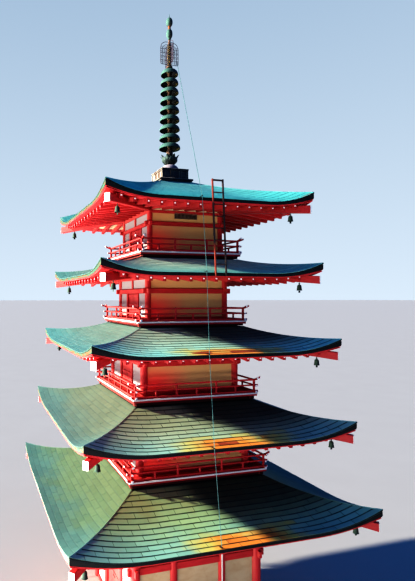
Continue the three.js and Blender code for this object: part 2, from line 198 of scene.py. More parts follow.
class Bench:
    """Corners and faces of one piece while it is being put together."""

    def __init__(self, name, main_finish):
        self.name, self.side, self.finishes = name, FRONT, [main_finish]
        self.corners, self.faces, self.finish, self.marks, self.places = [], [], [], [], []

    def sides(self, *chosen):
        """Turns the bench to each side of the tower in turn, and back to the front at the end."""
        for side in chosen or (FRONT, RIGHT, BACK, LEFT):
            self.side = side
            yield side
        self.side = FRONT

    def turned(self, corners):
        c, s = QUARTER_TURNS[self.side]
        return [(c * x - s * y, s * x + c * y, z) for x, y, z in corners]

    def lay(self, corners, faces, finish=None, mark=None, places=None):
        """Adds a shape that was drawn for the front. A shape without a mark gets a tone by chance."""
        finish = self.finishes[0] if finish is None else finish
        if finish not in self.finishes:
            self.finishes.append(finish)
        start = len(self.corners)
        self.corners += self.turned(corners)
        self.faces += [[start + i for i in face] for face in faces]
        self.finish += [self.finishes.index(finish)] * len(faces)
        self.marks += mark if isinstance(mark, list) else [mark or (random.random(), 0.5, 0.5)] * len(corners)
        self.places += places or [(0.5, 0.5, 0.5)] * len(corners)

    def done(self, node):
        """Makes the mesh, lets it ride on the tower, and hides the solid it stands for."""
        mesh = bpy.data.meshes.new(self.name)
        mesh.from_pydata(self.corners, [], self.faces)
        for finish in self.finishes:
            mesh.materials.append(finish)
        mesh.polygons.foreach_set("material_index", self.finish)
        for name, values in (("mark", self.marks), ("place", self.places)):
            layer = mesh.attributes.new(name, "FLOAT_VECTOR", "POINT")
            layer.data.foreach_set("vector", [v for value in values for v in value])
        mesh.shade_smooth()
        mesh.set_sharp_from_angle(angle=SHARP_EDGE)
        mesh.update()
        made = placed(self.name, mesh)
        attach(made, "root")
        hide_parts(node)
        print(self.name, len(mesh.vertices), "corners,", len(mesh.polygons), "faces")


print("sides:", FRONT, RIGHT, BACK, LEFT)

# %% [markdown]
# ## Four ways to shape timber and metal
# A beam or a rail is one section carried along a line, so the first helper joins rings of corners into a
# closed body. A block is such a body with its sharp edges planed off, which is what catches the light on
# real timber. A post or a ring is a profile turned on a lathe, and a wire is a round section along a path.
# The lathe leaves a pip of half a millimetre at the axis, so that no face has the same corner twice.

# %% Lines, circles and sections
PIP = 0.0005


def steps(start, end, count):
    return [start + (end - start) * i / count for i in range(count + 1)]


def all_round(count):
    """Angles all the way round; the last would be the first again, so it is left out."""
    return steps(0, 2 * math.pi, count)[:-1]


def around(middle, half):
    return middle - half, middle + half


def planed(x0, x1, y0, y1, ease):
    """The outline of a board seen end on, its four corners planed off."""
    return [(x0 + ease, y0), (x1 - ease, y0), (x1, y0 + ease), (x1, y1 - ease),
            (x1 - ease, y1), (x0 + ease, y1), (x0, y1 - ease), (x0, y0 + ease)]


print("a planed outline has", len(planed(0, 1, 0, 1, 0.1)), "corners")

# %% Shapes


def outward(corners, faces):
    """Turns a closed body's faces outwards, by the sign of its volume."""
    volume = 0.0
    for face in faces:
        a = corners[face[0]]
        for i, j in zip(face[1:], face[2:]):
            b, c = corners[i], corners[j]
            volume += (a[0] * (b[1] * c[2] - b[2] * c[1]) + a[1] * (b[2] * c[0] - b[0] * c[2])
                       + a[2] * (b[0] * c[1] - b[1] * c[0]))
    return faces if volume > 0 else [face[::-1] for face in faces]


def carried(bench, rings, finish=None, mark=None, places=None, closed=False):
    """A closed body through rings that have the same number of corners."""
    n, m = len(rings[0]), len(rings)
    middle = [sum(p[axis] for p in rings[0]) / n for axis in range(3)]
    corners = [p for ring in rings for p in ring]
    spans = range(m if closed else m - 1)
    faces = [[i * n + j, i * n + (j + 1) % n, (i + 1) % m * n + (j + 1) % n, (i + 1) % m * n + j]
             for i in spans for j in range(n)]
    if not closed:
        faces += [list(range(n))[::-1], [(m - 1) * n + j for j in range(n)]]
    near = [(p[0] - middle[0], p[1] - middle[1], p[2] - middle[2]) for p in corners]
    bench.lay(corners, outward(near, faces), finish, mark, places)


def block(bench, x, y, z, finish=None, ease=0.006):
    """A block between two values on each axis, with every edge planed."""
    ease = min(ease, *((high - low) / 5 for low, high in (x, y, z)))
    rings = []
    for height, inset in ((z[0], ease), (z[0] + ease, 0), (z[1] - ease, 0), (z[1], ease)):
        outline = planed(x[0] + inset, x[1] - inset, y[0] + inset, y[1] - inset, ease)
        rings.append([(px, py, height) for px, py in outline])
    carried(bench, rings, finish)


def lathed(bench, profile, facets=24, centre=(0, 0), finish=None, base=0):
    """A profile of (radius, height over the base) pairs turned round an upright axis."""
    rings = [[(centre[0] + max(r, PIP) * math.cos(a), centre[1] + max(r, PIP) * math.sin(a), base + z)
              for a in all_round(facets)] for r, z in profile]
    carried(bench, rings, finish)


def drawn(bench, path, radius, facets=8, finish=None):
    """A round wire or rod along a path."""
    points = [Vector(p) for p in path]
    across = Vector((0.31, 0.87, 0.12))
    rings = []
    for i, p in enumerate(points):
        along = (points[min(i + 1, len(points) - 1)] - points[max(i - 1, 0)]).normalized()
        across = (across - along * across.dot(along)).normalized()
        up = along.cross(across)
        rings.append([tuple(p + (across * math.cos(a) + up * math.sin(a)) * radius)
                      for a in all_round(facets)])
    carried(bench, rings, finish)


print("four shapes: carried, block, lathed, drawn")

# %% [markdown]
# ## Shader sums in plain Python
# A finish is a recipe: mix two greens by a noise, darken it near a joint, roughen what is dark. In the
# node editor that is a web of boxes. Here one small class holds a node's socket, and a sum on it adds the
# node that does it, so a mask reads as it would on paper. Numbers go through Math nodes, and colours and
# vectors through Mix and Vector Math, because a Math node would turn a colour grey.

# %% The socket class


class Dye:
    """One output socket. Arithmetic on it adds the nodes that do the sum."""

    def __init__(self, tree, socket):
        self.tree, self.socket = tree, socket

    def node(self, kind, settings=None, feeds=None, out=0):
        """Adds a node: its settings first, then the values or links of its sockets."""
        made = self.tree.nodes.new(kind)
        for name, value in (settings or {}).items():
            if name == "stops":
                ramp = made.color_ramp.elements
                ramp[0].position, ramp[1].position = value[0][0], value[-1][0]
                for place, _ in value[1:-1]:
                    ramp.new(place)
                for element, (_, colour) in zip(ramp, value):
                    element.color = (*colour, 1)
            else:
                setattr(made, name, value)
        for name, value in (feeds or {}).items():
            socket = made.inputs[name]
            if isinstance(value, Dye):
                self.tree.links.new(value.socket, socket)
            elif socket.type == "RGBA":
                socket.default_value = (*value, 1) if isinstance(value, tuple) else (value, value, value, 1)
            elif socket.type == "VECTOR" and not isinstance(value, tuple):
                socket.default_value = (value, value, value)
            else:
                socket.default_value = value
        return Dye(self.tree, made.outputs[out])

    def sum(self, operation, first, second):
        if self.socket.type == "RGBA":
            return self.node("ShaderNodeMix", {"data_type": "RGBA", "blend_type": operation},
                             {0: 1.0, 6: first, 7: second}, 2)
        kind = "ShaderNodeVectorMath" if self.socket.type == "VECTOR" else "ShaderNodeMath"
        return self.node(kind, {"operation": operation}, {0: first, 1: second})

    def __add__(self, other):
        return self.sum("ADD", self, other)

    def __radd__(self, other):
        return self.sum("ADD", other, self)

    def __sub__(self, other):
        return self.sum("SUBTRACT", self, other)

    def __rsub__(self, other):
        return self.sum("SUBTRACT", other, self)

    def __mul__(self, other):
        return self.sum("MULTIPLY", self, other)

    def __rmul__(self, other):
        return self.sum("MULTIPLY", other, self)

    def __abs__(self):
        return self.node("ShaderNodeMath", {"operation": "ABSOLUTE"}, {0: self})

    def over(self, other, mask):
        """This colour where mask is 0 and the other where it is 1."""
        return self.node("ShaderNodeMix", {"data_type": "RGBA"}, {0: mask, 6: self, 7: other}, 2)

    def between(self, low, high):
        """0 up to low and 1 from high on, with a soft step."""
        return self.node("ShaderNodeMapRange", {"interpolation_type": "SMOOTHSTEP"},
                         {"Value": self, "From Min": low, "From Max": high})

    def inside(self, start, full, fading, end):
        """0 up to start, 1 from full to fading, and 0 again from end on."""
        return self.between(start, full) * (1 - self.between(fading, end))

    def axis(self, name):
        return self.node("ShaderNodeSeparateXYZ", None, {0: self}, "XYZ".index(name))

    def ramp(self, *stops):
        """The colour that this value has on a ramp of (place, colour) stops."""
        return self.node("ShaderNodeValToRGB", {"stops": stops}, {0: self})

    def patches(self, scale, detail=3.0, rough=0.55, wander=0.0):
        """Cloudy patches about 1 / scale metres wide, from 0 to 1."""
        return self.node("ShaderNodeTexNoise", {"noise_dimensions": "3D"},
                         {"Vector": self, "Scale": scale, "Detail": detail, "Roughness": rough,
                          "Distortion": wander})


print("one socket class, with", sum(name.startswith("__") for name in vars(Dye)), "special methods")

# %% [markdown]
# ## Starting a finish
# Every finish starts with the same things: where a point lies on the tower, the two marks that the bench
# wrote, and which way the surface faces, because dust, patina and bleaching come from above or from the
# sunny side. The last helper plugs colour, roughness and relief into one Principled shader.

# %% A finish to mix


class Finish:
    """A material with one Principled shader, and the readings that recipes start from."""

    def __init__(self, name, metal=0.0, gloss=0.5):
        self.material = bpy.data.materials.new(name)
        self.material.use_nodes = True
        self.tree = self.material.node_tree
        self.shader = self.tree.nodes["Principled BSDF"]
        self.shader.inputs["Metallic"].default_value = metal
        self.shader.inputs["Specular IOR Level"].default_value = gloss
        self.start = Dye(self.tree, None)
        self.spot = self.start.node("ShaderNodeTexCoord", out="Object")
        self.mark = self.start.node("ShaderNodeAttribute", {"attribute_name": "mark"}, out="Vector")
        self.place = self.start.node("ShaderNodeAttribute", {"attribute_name": "place"}, out="Vector")
        self.facing = self.start.node("ShaderNodeNewGeometry", out="Normal")

    def colour(self, *rgb):
        """A colour to start a mix from, as a ramp with one colour."""
        return self.start.node("ShaderNodeValToRGB", {"stops": [(0, rgb), (1, rgb)]}, {0: 0.5})

    def stretched(self, x, y, z):
        """The spot with its axes scaled, for grain that runs one way."""
        return self.spot * (x, y, z)

    def set(self, colour, rough, relief=None, deep=0.002, strength=0.5):
        feeds = {"Base Color": colour, "Roughness": rough}
        if relief is not None:
            feeds["Normal"] = self.start.node("ShaderNodeBump", None,
                                              {"Strength": strength, "Distance": deep, "Height": relief})
        for name, value in feeds.items():
            if isinstance(value, Dye):
                self.tree.links.new(value.socket, self.shader.inputs[name])
            else:
                self.shader.inputs[name].default_value = value
        print(self.material.name, len(self.tree.nodes), "nodes")
        return self.material


print("finishes read the marks 'mark' and 'place'")

# %% [markdown]
# ## Weathered copper
# New copper turns brown within a year and green within thirty. On these roofs the lower courses are a pale
# blue green and the upper ones, washed less by rain, a tan olive. On the three lowest roofs, water that
# drips on the middle of the front has left yellow and orange stains near the edge with a burnt brown band.
# On the front of those roofs the sheets near the wall, on the right part of the front, are painted nearly
# black as a painted shadow of the storey above. The bench marked each sheet's own tone and each corner's
# place on its sheet and its roof, so the joints can be dark, the upper part of each sheet under the next
# lap can take a dark band of painted shade, and the stains can follow the courses. On the slopes to the
# left and right the joints and the painted lap shade are fainter, and the slopes themselves are painted
# darker, while the front and back are painted a little brighter, as painted shade and light. So the finish
# asks which slope a point lies on: the hips are where x and y are equally large.

# %% Stains on the front


def drip_stains(f, green, x, front, tone, out, clouds):
    """Yellow, orange and burnt brown where water drips from above; out is the distance from the edge."""
    streaks = f.stretched(0.9, 0.9, 9.0).patches(2.2, 4, 0.65)
    edge = (streaks - 0.5) * 0.9 + (tone - 0.5) * 0.3
    along = x + edge
    halo = (1 - (out + edge * 0.4).between(0.40, 0.72)) * along.inside(-1.6, -0.8, 1.4, 2.1) * front
    core = along.inside(-1.0, -0.4, 0.8, 1.5) * front * (1 - (out + edge * 0.3).between(0.38, 0.55))
    burnt = core * (out + edge * 0.1).inside(0.16, 0.22, 0.30, 0.38)
    green = green.over((0.58, 0.48, 0.07), halo * 0.75)
    green = green.over((0.60, 0.20, 0.035), core * (tone * 0.5 + clouds).between(0.25, 0.70) * 0.9)
    return green.over((0.25, 0.045, 0.025), burnt * (tone + streaks).between(0.70, 1.20) * 0.9)


print("stains lie within 0.7 m of the edge")

# %% The copper finish


def copper(name, low, high, tan, stained, lines=1.0):
    """low and high are the greens near the eave and further up, tan the colour below the balcony."""
    f = Finish(name, gloss=0.3)
    tone, down, out = (f.mark.axis(a) for a in "XYZ")
    across, up = f.place.axis("X"), f.place.axis("Y")
    x, y = f.spot.axis("X"), f.spot.axis("Y")
    side_slope = (abs(x) - abs(y)).between(-0.01, 0.01)
    clouds = f.spot.patches(0.7, 4, 0.6, 0.6)
    small = f.spot.patches(9, 3, 0.6)
    green = f.colour(*high).over(low, (down + (clouds - 0.5) * 0.8).between(0.4, 0.95))
    dry = ((1 - down) + (clouds - 0.5) * 0.9 + (tone - 0.5) * 0.1).between(0.35, 0.95)
    green = green.over(tan, dry * (0.85 - side_slope * 0.5))
    green = green * tone.ramp((0, (0.88, 0.89, 0.88)), (0.5, (0.98, 0.98, 0.98)), (1, (1.06, 1.05, 1.03)))
    green = green.over((0.15, 0.24, 0.18), small.between(0.56, 0.8) * 0.3)
    # Painted shade and light: the side slopes are painted darker, and the front and back a little brighter
    # and bluer.
    green = green * side_slope.ramp((0, (1.02, 1.08, 1.15)), (1, (0.38, 0.45, 0.52)))
    if stained:
        front = (1 - side_slope) * (y * -1).between(0.0, 0.1)
        # Painted shadow: near the wall, on the right part of the front, the sheets are painted nearly black
        # as the storey above's shadow.
        painted_shadow = front * (x + 0.7 - down * 1.6).between(-0.4, 0.5) * (1 - down).between(0.15, 0.75)
        green = green.over((0.006, 0.009, 0.011), painted_shadow * 0.8)
        green = drip_stains(f, green, x, front, tone, out, clouds)
    shown = (1 - side_slope * 0.75) * lines
    joint = (1 - across.inside(0.0, 0.02, 0.98, 1.0)) * shown
    # Painted shade: a dark band on the upper part of each sheet, where the next course laps over it, and dark
    # upright faces on the lifted sheet edges.
    painted_lap_shade = up.between(0.64, 0.80) * shown
    upright = 1 - f.facing.axis("Z").between(0.3, 0.6)
    broken = f.stretched(0.7, 0.7, 5.0).patches(3.0, 3, 0.6)
    green = green.over((0.03, 0.045, 0.04), joint * (tone * 0.5 + broken).between(0.65, 0.95) * 0.6)
    green = green.over((0.016, 0.022, 0.02), painted_lap_shade * (broken * 0.9 + 0.45) * 0.95)
    green = green.over((0.02, 0.03, 0.026), upright * shown * 0.7)
    green = green.over((0.08, 0.13, 0.12), upright * side_slope * 0.6)
    rough = 0.6 + small * 0.25 + joint * 0.1
    return f.set(green, rough, small + clouds * 0.4, deep=0.004, strength=0.3)


ROOF_COPPER = [
    copper("copper_roof_1", (0.22, 0.40, 0.29), (0.29, 0.41, 0.20), (0.23, 0.235, 0.10), True),
    copper("copper_roof_2", (0.27, 0.43, 0.32), (0.34, 0.40, 0.24), (0.22, 0.235, 0.125), True),
    copper("copper_roof_3", (0.27, 0.58, 0.46), (0.34, 0.50, 0.36), (0.30, 0.35, 0.24), True, 0.85),
    copper("copper_roof_4", (0.22, 0.48, 0.37), (0.29, 0.46, 0.34), (0.35, 0.41, 0.30), False, 0.3),
    copper("copper_roof_5", (0.08, 0.36, 0.31), (0.11, 0.37, 0.32), (0.16, 0.34, 0.29), False, 0.2),
]

# %% [markdown]
# The eave's edge is built up of a folded lip, a band of sheet and two dark grooves. On the left and right
# the lip and the band are painted green and gold brown, as painted sunlight; on the front and back they are
# painted near black, as painted shade, with a dark mottle. A surface's own direction tells which side it is
# on, so one finish does for all four.

# %% The eave's edge


def edge_metal(name, sunny, patches):
    f = Finish(name, gloss=0.3)
    worn = f.stretched(2.2, 2.2, 12).patches(1.2, 4, 0.6)
    soot_and_shade_mottle = f.spot.patches(6, 4, 0.6)
    bright = f.colour(*sunny).over(patches, worn.between(0.42, 0.62))
    bright = bright.over((0.05, 0.06, 0.04), soot_and_shade_mottle.between(0.55, 0.8) * 0.5)
    # Painted light and shade: faces that look left or right take the bright colours, and faces that look
    # front or back take the near black. The dark mottle darkens the bright colours in spots and varies the
    # black.
    painted_lit_sides = abs(f.facing.axis("X")).between(0.35, 0.75)
    on_top = f.facing.axis("Z").between(0.5, 0.8)
    black = f.colour(0.004, 0.005, 0.006).over((0.012, 0.014, 0.013), soot_and_shade_mottle.between(0.45, 0.8))
    metal = black.over(bright, painted_lit_sides)
    metal = metal.over((0.16, 0.30, 0.25), on_top * 0.8)
    return f.set(metal, 0.6 + soot_and_shade_mottle * 0.2, worn, deep=0.002)


LIP_METAL = edge_metal("copper_lip", (0.07, 0.14, 0.10), (0.07, 0.11, 0.07))
BAND_METAL = edge_metal("copper_band", (0.045, 0.10, 0.06), (0.12, 0.06, 0.02))

# Near black with a faint mottle: painted shade for the grooves of the eave's edge and for the recess behind
# the vent slats; it also covers the hidden roof boards.
f = Finish("eave_black", gloss=0.2)
soot_and_shade_mottle = f.spot.patches(6, 4, 0.6)
black = f.colour(0.006, 0.007, 0.007).over((0.014, 0.013, 0.01), soot_and_shade_mottle.between(0.45, 0.8))
EAVE_BLACK = f.set(black, 0.7 + soot_and_shade_mottle * 0.2, soot_and_shade_mottle, deep=0.003)

# %% [markdown]
# ## Vermilion timber
# The frame is painted with vermilion, an orange red that bleaches a little where the sun reaches it and
# gathers dust on top of every rail and beam. The grain of the timber stands through the paint as fine
# lines. They run along the piece on the real building. A noise stretched upwards is right for posts and
# one stretched sideways for beams, so one recipe takes the stretch, and makes the darker reds as well:
# the front's rafters, fascia and hip rafters take a darker red, little bleached, as painted shade, and
# the ring beams under the balconies are painted almost black, as painted shade.

# %% The red finishes


def vermilion(name, stretch, red=(0.45, 0.036, 0.040), wear=0.5, bleach=0.5):
    """Weathered red paint; bleach says how far the sun has paled what faces the left."""
    f = Finish(name, gloss=0.25)
    tone = f.mark.axis("X")
    grain = f.stretched(*stretch).patches(1.0, 4, 0.6, 0.3)
    weather = f.spot.patches(0.9, 4, 0.6)
    paint = f.colour(*red).over(tuple(v * 0.72 for v in red), grain.between(0.35, 0.7) * 0.55)
    paint = paint * tone.ramp((0, (0.84, 0.82, 0.82)), (1, (1.1, 1.12, 1.12)))
    bleached = (f.facing.axis("X") * -1).between(0.3, 1.0) * (weather.between(0.3, 0.8) + 0.3)
    paint = paint.over((0.62, 0.15, 0.12), bleached * bleach)
    dust = f.facing.axis("Z").between(0.6, 1.0) * weather.between(0.25, 0.75)
    paint = paint.over((0.40, 0.12, 0.08), dust * 0.3)
    chips = f.spot.patches(26, 3, 0.5).between(0.71, 0.75) * weather.between(0.5, 0.7)
    paint = paint.over((0.22, 0.10, 0.06), chips * wear)
    rough = 0.5 + grain * 0.18 + dust * 0.2 + chips * 0.2
    return f.set(paint, rough, grain - chips * 0.6, deep=0.0012)


RED_POST = vermilion("red_posts", (22, 22, 1.2))
RED_BEAM = vermilion("red_beams", (2.5, 2.5, 26))
RED_BOARD = vermilion("red_boards", (9, 9, 9), red=(0.40, 0.032, 0.036), wear=0.35)
# Painted shade: the ring beams under the balconies are red darkened almost to black.
SHADED_BEAM = vermilion("shaded_ring_beams", (2.5, 2.5, 26), red=(0.06, 0.008, 0.008), wear=0.3)
RED_RAIL = vermilion("red_rails", (6, 6, 30), wear=0.7)
# Painted shade: a darker red, little bleached, for the rafters, fascia and hip rafters of the front.
SHADED_FRONT_RAFTER = vermilion("shaded_front_rafters", (6, 6, 30), red=(0.26, 0.018, 0.022), wear=0.7, bleach=0.1)

# %% [markdown]
# ## Paint, plaster and ceiling boards
# Beam ends, rafter ends and the balcony's edge boards are white, which also keeps rain out of the end
# grain. The walls are lime plaster: cream on the ground storey and tan above, partly the plaster's own
# tone and partly painted warm shade, and painted almost white on faces that look left, as painted
# sunlight, with a faint trowelled unevenness and a little dirt washed down from the beams. On the left
# half of the upper storeys' fronts the plaster is painted red, most of all behind the railings, as a
# painted reflection of the red posts and rails. At the front and back, the boards of the eaves are
# painted cream near the wall.

# %% White paint
f = Finish("white_paint", gloss=0.4)
fade = f.spot.patches(7, 4, 0.6)
runs = f.stretched(12, 12, 1.5).patches(1.0, 4, 0.6)
white = f.colour(0.66, 0.64, 0.60).over((0.44, 0.40, 0.35), fade.between(0.5, 0.85) * 0.5)
white = white.over((0.55, 0.42, 0.36), runs.between(0.55, 0.8) * 0.3)
WHITE_PAINT = f.set(white, 0.5 + fade * 0.2, fade, deep=0.001)

f = Finish("rafter_caps", gloss=0.4)
fade = f.spot.patches(11, 4, 0.6)
CAP_PAINT = f.set(f.colour(0.62, 0.63, 0.66).over((0.36, 0.34, 0.34), fade.between(0.45, 0.8)),
                  0.5 + fade * 0.2, fade, deep=0.001)

# %% Plaster
f = Finish("cream_plaster", gloss=0.25)
trowel = f.stretched(1.4, 1.4, 2.2).patches(2.0, 5, 0.6, 0.5)
sand = f.spot.patches(60, 2, 0.6)
washed = f.stretched(5, 5, 0.5).patches(1.0, 4, 0.6)
# Painted sunlight: faces that look left are painted almost white.
sunny = (f.facing.axis("X") * -1).between(0.4, 0.9)
on_front = (f.facing.axis("Y") * -1).between(0.4, 0.9)
height = f.spot.axis("Z")
upstairs = height.between(4.3, 5.1)
behind_rails = 0
for s in STOREYS[1:]:
    floor, head = s["floor"], s["beam"]
    behind_rails = height.inside(floor - 0.02, floor, head[0] - 0.5, head[1]) + behind_rails
# Painted reflection: red from the posts and rails, on the left half of the upper fronts.
painted_red_reflection = (1 - (f.spot.axis("X") + trowel * 0.3).between(-1.0, 0.35)) * on_front
# Cream below and tan above: partly the plaster's own tone, partly painted warm shade.
cream = f.colour(0.44, 0.35, 0.22).over((0.39, 0.29, 0.17), trowel.between(0.35, 0.75))
cream = cream.over((0.63, 0.39, 0.17), upstairs * 0.8)
cream = cream.over((0.94, 0.105, 0.085), painted_red_reflection * (behind_rails * 0.9 + 0.1) * upstairs)
cream = cream.over((0.35, 0.325, 0.31), sunny)
cream = cream.over((0.50, 0.34, 0.18), washed.between(0.58, 0.85) * (1 - sunny * 0.8) * 0.3)
PLASTER = f.set(cream, 0.82 + sand * 0.12, sand * 0.4 + trowel, deep=0.003)

for k in range(len(STOREYS)):
    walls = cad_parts[f"walls_{k + 1}"]
    walls.data.materials.clear()
    walls.data.materials.append(PLASTER)
    print("plastered", walls.name)

# %% Cream boards
f = Finish("cream_ceiling_boards", gloss=0.3)
tone = f.mark.axis("X")
grain = f.stretched(3, 3, 3).patches(3.0, 4, 0.6)
cream = f.colour(0.74, 0.62, 0.42).over((0.56, 0.43, 0.27), grain.between(0.3, 0.8) * 0.5 + tone * 0.3)
CREAM_BOARD = f.set(cream, 0.7 + grain * 0.15, grain, deep=0.001)

# %% [markdown]
# ## Bronze, iron and stone
# The spire is cast bronze, with a pale green patina on top. Faces that look left are painted pale as
# painted sunlight, the lee side stays almost black as painted shade, and the hollows under the rings are
# painted near black as shade. Its necks have stayed brown. The ladder is painted iron, and its left stile
# has rusted through near its top and again lower down. The podium is dressed grey stone with darker joints
# and a few green and brown patches near the ground.

# %% Bronze


def bronze(name, dark, patina, amount, runs=0.0, underside_shade=None, specks=None):
    """Dark metal with a pale patina on top; faces that look left are painted pale as painted sunlight, and
    the lee side stays dark as painted shade. An underside colour, if given, paints downward faces near black
    as painted shade, with a painted golden glint where they face the left.
    """
    f = Finish(name, metal=0.15, gloss=0.4)
    cloud = f.spot.patches(5, 4, 0.6, 0.4)
    fine = f.spot.patches(30, 3, 0.6)
    # Patina on top, and painted sunlight on faces that look left.
    patina_and_painted_light = f.facing.axis("X") * -0.75 + f.facing.axis("Z") * 0.45
    patina_and_light = (patina_and_painted_light * amount + (cloud - 0.5) * 0.6).between(-0.05, 0.6)
    cast = f.colour(*dark).over((0.08, 0.045, 0.025), fine.between(0.5, 0.8) * 0.25)
    cast = cast.over(patina, patina_and_light * 0.92)
    if runs:
        drips = f.stretched(13, 13, 1.3).patches(1.0, 3, 0.6)
        cast = cast.over((0.15, 0.065, 0.03), drips.between(0.47, 0.62) * patina_and_light * runs)
    # Painted shade on the undersides, and a painted golden glint where they face the left.
    if underside_shade:
        under = (f.facing.axis("Z") * -1).between(0.02, 0.3)
        painted_glint = (f.facing.axis("X") * -1).between(0.75, 1.0)
        cast = cast.over(underside_shade, under).over((0.42, 0.34, 0.12), under * painted_glint * 0.7)
    if specks:
        cast = cast.over(specks, f.spot.patches(40, 2, 0.5).between(0.58, 0.66) * 0.9)
    return f.set(cast, 0.5 + patina_and_light * 0.25 + fine * 0.1, fine + cloud, deep=0.003)


BRONZE = bronze("green_bronze", (0.012, 0.020, 0.018), (0.085, 0.17, 0.135), 0.9)
# Ring undersides painted near black as shade, with a painted glint inside.
RING_BRONZE = bronze("ring_bronze", (0.012, 0.022, 0.020), (0.075, 0.165, 0.13), 0.8,
                     underside_shade=(0.006, 0.008, 0.007))
LOTUS_BRONZE = bronze("lotus_bronze", (0.012, 0.020, 0.018), (0.11, 0.16, 0.13), 0.65)
FLAME_BRONZE = bronze("flame_bronze", (0.022, 0.014, 0.022), (0.07, 0.045, 0.06), 0.8)
SPECKLED_BRONZE = bronze("speckled_bronze", (0.012, 0.012, 0.010), (0.05, 0.045, 0.035), 0.7,
                         specks=(0.50, 0.30, 0.07))
PALE_BRONZE = bronze("pale_bronze", (0.07, 0.065, 0.10), (0.38, 0.33, 0.33), 1.2)
BROWN_BRONZE = bronze("brown_bronze", (0.02, 0.016, 0.010), (0.21, 0.125, 0.08), 0.9)
NECK_BRONZE = bronze("orange_neck_bronze", (0.10, 0.03, 0.012), (0.27, 0.10, 0.04), 0.9)
BOX_BRONZE = bronze("box_bronze", (0.012, 0.016, 0.024), (0.38, 0.34, 0.28), 1.15, runs=0.75)
BELL_BRONZE = bronze("bell_bronze", (0.007, 0.009, 0.009), (0.06, 0.12, 0.08), 0.5)

# %% Iron


def iron(name, paint, rust, amount, sound=None):
    """Painted iron with rust; between the two heights in sound the paint has held."""
    f = Finish(name, metal=0.2, gloss=0.45)
    scale = f.spot.patches(14, 5, 0.65, 0.4)
    pits = f.spot.patches(70, 3, 0.6)
    spread = (scale + (pits - 0.5) * 0.4).between(1.0 - amount, 1.25 - amount)
    if sound:
        height = f.spot.axis("Z") + scale * 0.2
        spread = spread * (1 - height.inside(*around(sound[0], 0.05), *around(sound[1], 0.05)))
    metal = f.colour(*paint).over(rust, spread)
    metal = metal.over(tuple(v * 0.45 for v in rust), pits.between(0.55, 0.8) * spread * 0.6)
    return f.set(metal, 0.45 + spread * 0.35, pits * spread + scale * 0.3, deep=0.002)


BLACK_IRON = iron("black_iron", (0.016, 0.011, 0.010), (0.10, 0.025, 0.012), 0.5)
RUSTY_IRON = iron("rusty_iron", (0.02, 0.014, 0.013), (0.17, 0.028, 0.014), 0.95, sound=(11.65, 12.75))
SLAT_IRON = iron("vent_slat_iron", (0.16, 0.115, 0.095), (0.10, 0.05, 0.035), 0.5)
PALE_PIPE = iron("pale_pipe", (0.55, 0.54, 0.50), (0.30, 0.22, 0.15), 0.42)
GREEN_WIRE = iron("green_copper_wire", (0.09, 0.20, 0.18), (0.06, 0.11, 0.10), 0.5)

# %% Stone
f = Finish("dressed_stone", gloss=0.3)
tone = f.mark.axis("X")
bed = f.spot.patches(2.2, 5, 0.6)
flecks = f.spot.patches(55, 3, 0.7)
stone = f.colour(0.36, 0.34, 0.30).over((0.50, 0.48, 0.43), (bed + (tone - 0.5) * 0.8).between(0.3, 0.75))
stone = stone.over((0.16, 0.15, 0.13), flecks.between(0.58, 0.75) * 0.6)
near_ground = 1 - f.spot.axis("Z").between(0.02, 0.3)
stone = stone.over((0.13, 0.16, 0.08), near_ground * bed.between(0.45, 0.7) * 0.55)
STONE = f.set(stone, 0.8 + flecks * 0.15, flecks + bed, deep=0.004)

# %% [markdown]
# ## The copper courses
# The roofers laid the copper in level courses from the eave up, each lapping the one below, with the
# upright joints staggered by half a sheet. The laps are what the eye reads as lines on the roof. A texture
# could fake them, but the edge of each sheet really stands proud and casts a thin shadow, so every sheet is
# a thin closed plate of its own: its lower edge is lifted, its upper edge tucked under the next course. The
# copper finish adds painted shade to the lines: a dark band on each sheet under the next lap, and dark
# upright edges.

# %% Lay one roof's courses
SHEET, COURSE, LAP = 0.55, 0.17, 0.03
SHORTEST_SHEET = 0.16


def lay_courses(bench, k, lip):
    s = STOREYS[k]
    run = s["eave"] - roof_flat(k)
    rise = roof_height(k, 0, roof_flat(k)) - s["edge"]
    courses = round(math.hypot(run, rise) / COURSE)
    laid = 0
    for _ in bench.sides():
        for row in range(courses):
            low = s["eave"] - run * row / courses
            high = max(roof_flat(k), s["eave"] - run * (row + 1) / courses - LAP)
            shift = 0.5 * (row % 2) * SHEET + random.uniform(-0.03, 0.03)
            joints = [shift + SHEET * i for i in range(-9, 10)]
            joints = [x for x in joints if abs(x) < high - SHORTEST_SHEET]
            for left, right in zip([None, *joints], [*joints, None]):
                lay_sheet(bench, k, low, high, left, right, lip)
                laid += 1
    return courses, laid


def lay_sheet(bench, k, low, high, left, right, lip):
    """One sheet; a side that is None ends at the hip."""
    def end(value, u, sign):
        return sign * (u - 0.004) if value is None else value - sign * 0.003
    x_low = (end(left, low, -1), end(right, low, 1))
    x_high = (end(left, high, -1), end(right, high, 1))
    count = max(2, math.ceil((x_low[1] - x_low[0]) / 0.2))
    tone, deep = random.random(), STOREYS[k]["eave"] - roof_flat(k)
    lift = lip * random.uniform(0.85, 1.15)
    rings, places = [], []
    for share, a, b in zip(steps(0, 1, count), steps(*x_low, count), steps(*x_high, count)):
        foot, head = roof_height(k, a, low), roof_height(k, b, high)
        rings.append([(a, -low, foot + 0.001), (a, -low, foot + lift),
                      (b, -high, head + 0.0035), (b, -high, head + 0.001)])
        places += [(share, 0, 0), (share, 0, 0), (share, 1, 0), (share, 1, 0)]
    out = STOREYS[k]["eave"] - (low + high) / 2
    carried(bench, rings, mark=(tone, 1 - out / deep, out), places=places)


print("courses about", COURSE, "m high, sheets", SHEET, "m long")

